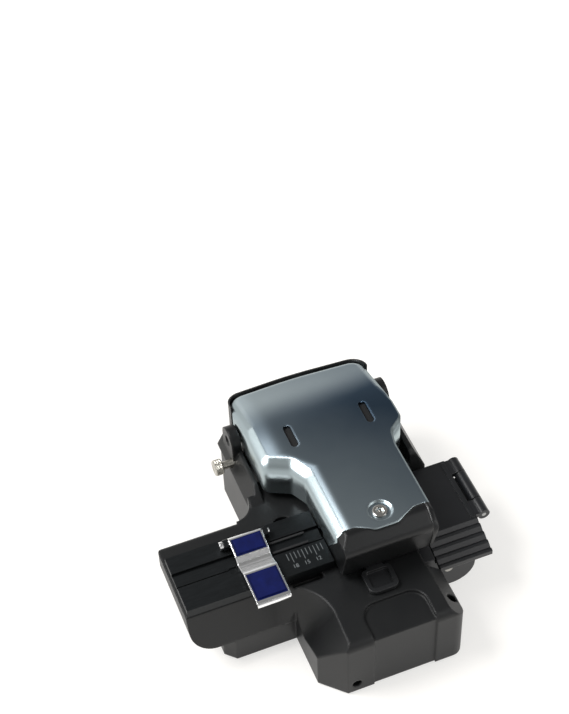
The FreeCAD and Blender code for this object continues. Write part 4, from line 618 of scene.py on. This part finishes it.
def socket_screw(head_radius, head_height, shank_radius, length, across):
    """A cap screw along +Z, head top at 0, with a hexagonal socket of a width across flats.
    Inside the hexagon, max over k of r cos(a - k 60 deg) < across / 2, the head is sunk."""
    bevel, shoulder_drop, shoulder_inset, socket_depth, skin = 0.3, 0.12, 0.08, 0.9, 0.05
    crown = [(0.0, r) for r in np.linspace(0, head_radius - bevel, 34)]
    rest = [(-shoulder_drop, head_radius - shoulder_inset), (-bevel, head_radius),
            (-head_height, head_radius), (-head_height, shank_radius), (-length, shank_radius),
            (-length, 0.0)]

    def sink(height, radius, turn):
        flats = np.stack([radius * np.cos(turn - k * np.pi / 3) for k in range(6)])
        inside = (flats.max(0) < across / 2) & (height > -skin)
        return height - inside * socket_depth, radius

    return turned(crown + rest, 144, sink)


low, high = (np.array(corner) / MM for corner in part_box("cover_screw"))
centre = ((low[0] + high[0]) / 2, (low[1] + high[1]) / 2, high[2])
points = socket_screw(head_radius=1.9, head_height=1.4, shank_radius=0.8,
                      length=high[2] - low[2], across=2.0)
cap = lathe_mesh("cap_screw_of_cover", stand(points, "+Z", centre))
cap.data.materials.append(nickel)
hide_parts("cover_screw")
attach(cap, "lever")


# ---------------------------------------------------------------- lock pin and spring
# A knurled knob turned with its shaft from stainless steel, and a spring of bright wire.

KNOB_LENGTH, KNOB_RADIUS, KNOB_BEVEL, SHAFT_RADIUS = 2.3, 2.15, 0.3, 1.1
DIMPLE_DEPTH, DIMPLE_FLOOR, DIMPLE_RIM = 0.12, 0.9, 1.05
KNURLS, KNURL_DEPTH, KNURL_LEAD, KNURL_FROM = 26, 0.14, 2.1, KNOB_RADIUS - 0.15


def knurl(height, radius, turn):
    """Two sets of crossing helices are pressed into the knob's rim: each set has KNURLS lines,
    and climbs KNURL_LEAD lines for each mm of height."""
    rim = ((radius > KNURL_FROM) & (height > KNOB_BEVEL)
           & (height < KNOB_LENGTH - KNOB_BEVEL))
    lead = height * KNURL_LEAD
    a = np.abs(((turn * KNURLS / (2 * np.pi) + lead) % 1) - 0.5)
    b = np.abs(((turn * KNURLS / (2 * np.pi) - lead) % 1) - 0.5)
    return height, radius - rim * KNURL_DEPTH * (1 - 2 * np.minimum(a, b))


stainless = wrought(
    "stainless_steel_turned", "#a39f95", "#cfccc3", rough=0.28, line_mm=0.15, axis="X")
low, high = (np.array(corner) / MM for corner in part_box("lock_pin"))
length = high[0] - low[0]
rim = [(z, KNOB_RADIUS) for z in np.linspace(KNOB_BEVEL, KNOB_LENGTH - KNOB_BEVEL, 22)]
profile = ([(DIMPLE_DEPTH, 0.0), (DIMPLE_DEPTH, DIMPLE_FLOOR), (0.0, DIMPLE_RIM),
            (0.0, KNOB_RADIUS - KNOB_BEVEL)] + rim
           + [(KNOB_LENGTH, KNOB_RADIUS - KNOB_BEVEL), (KNOB_LENGTH, SHAFT_RADIUS),
              (length, SHAFT_RADIUS), (length, 0.0)])
centre = (low[0], (low[1] + high[1]) / 2, (low[2] + high[2]) / 2)
knob = lathe_mesh("lock_pin_knurled", stand(turned(profile, 208, knurl), "+X", centre))
knob.data.materials.append(stainless)
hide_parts("lock_pin")
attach(knob, "lock")

wire = wrought("spring_wire_drawn", "#8a8a86", "#b9b9b4", rough=0.3, line_mm=0.2, axis="X")
coat(wire, "return_spring")


# ---------------------------------------------------------------- scrap collector
# A bin and a lid moulded in black ABS with a fuller gloss.  The lid turns on a steel pin in
# three knuckles.

glossy = moulded(
    "abs_moulded_semi_gloss", "#131416", "#1c1d20", rough=0.32, grain_mm=0.35, depth_mm=0.004,
    edge_mm=0.3)
coat(glossy, "collector_bin", "collector_lid")
coat(zinc, "collector_screws")
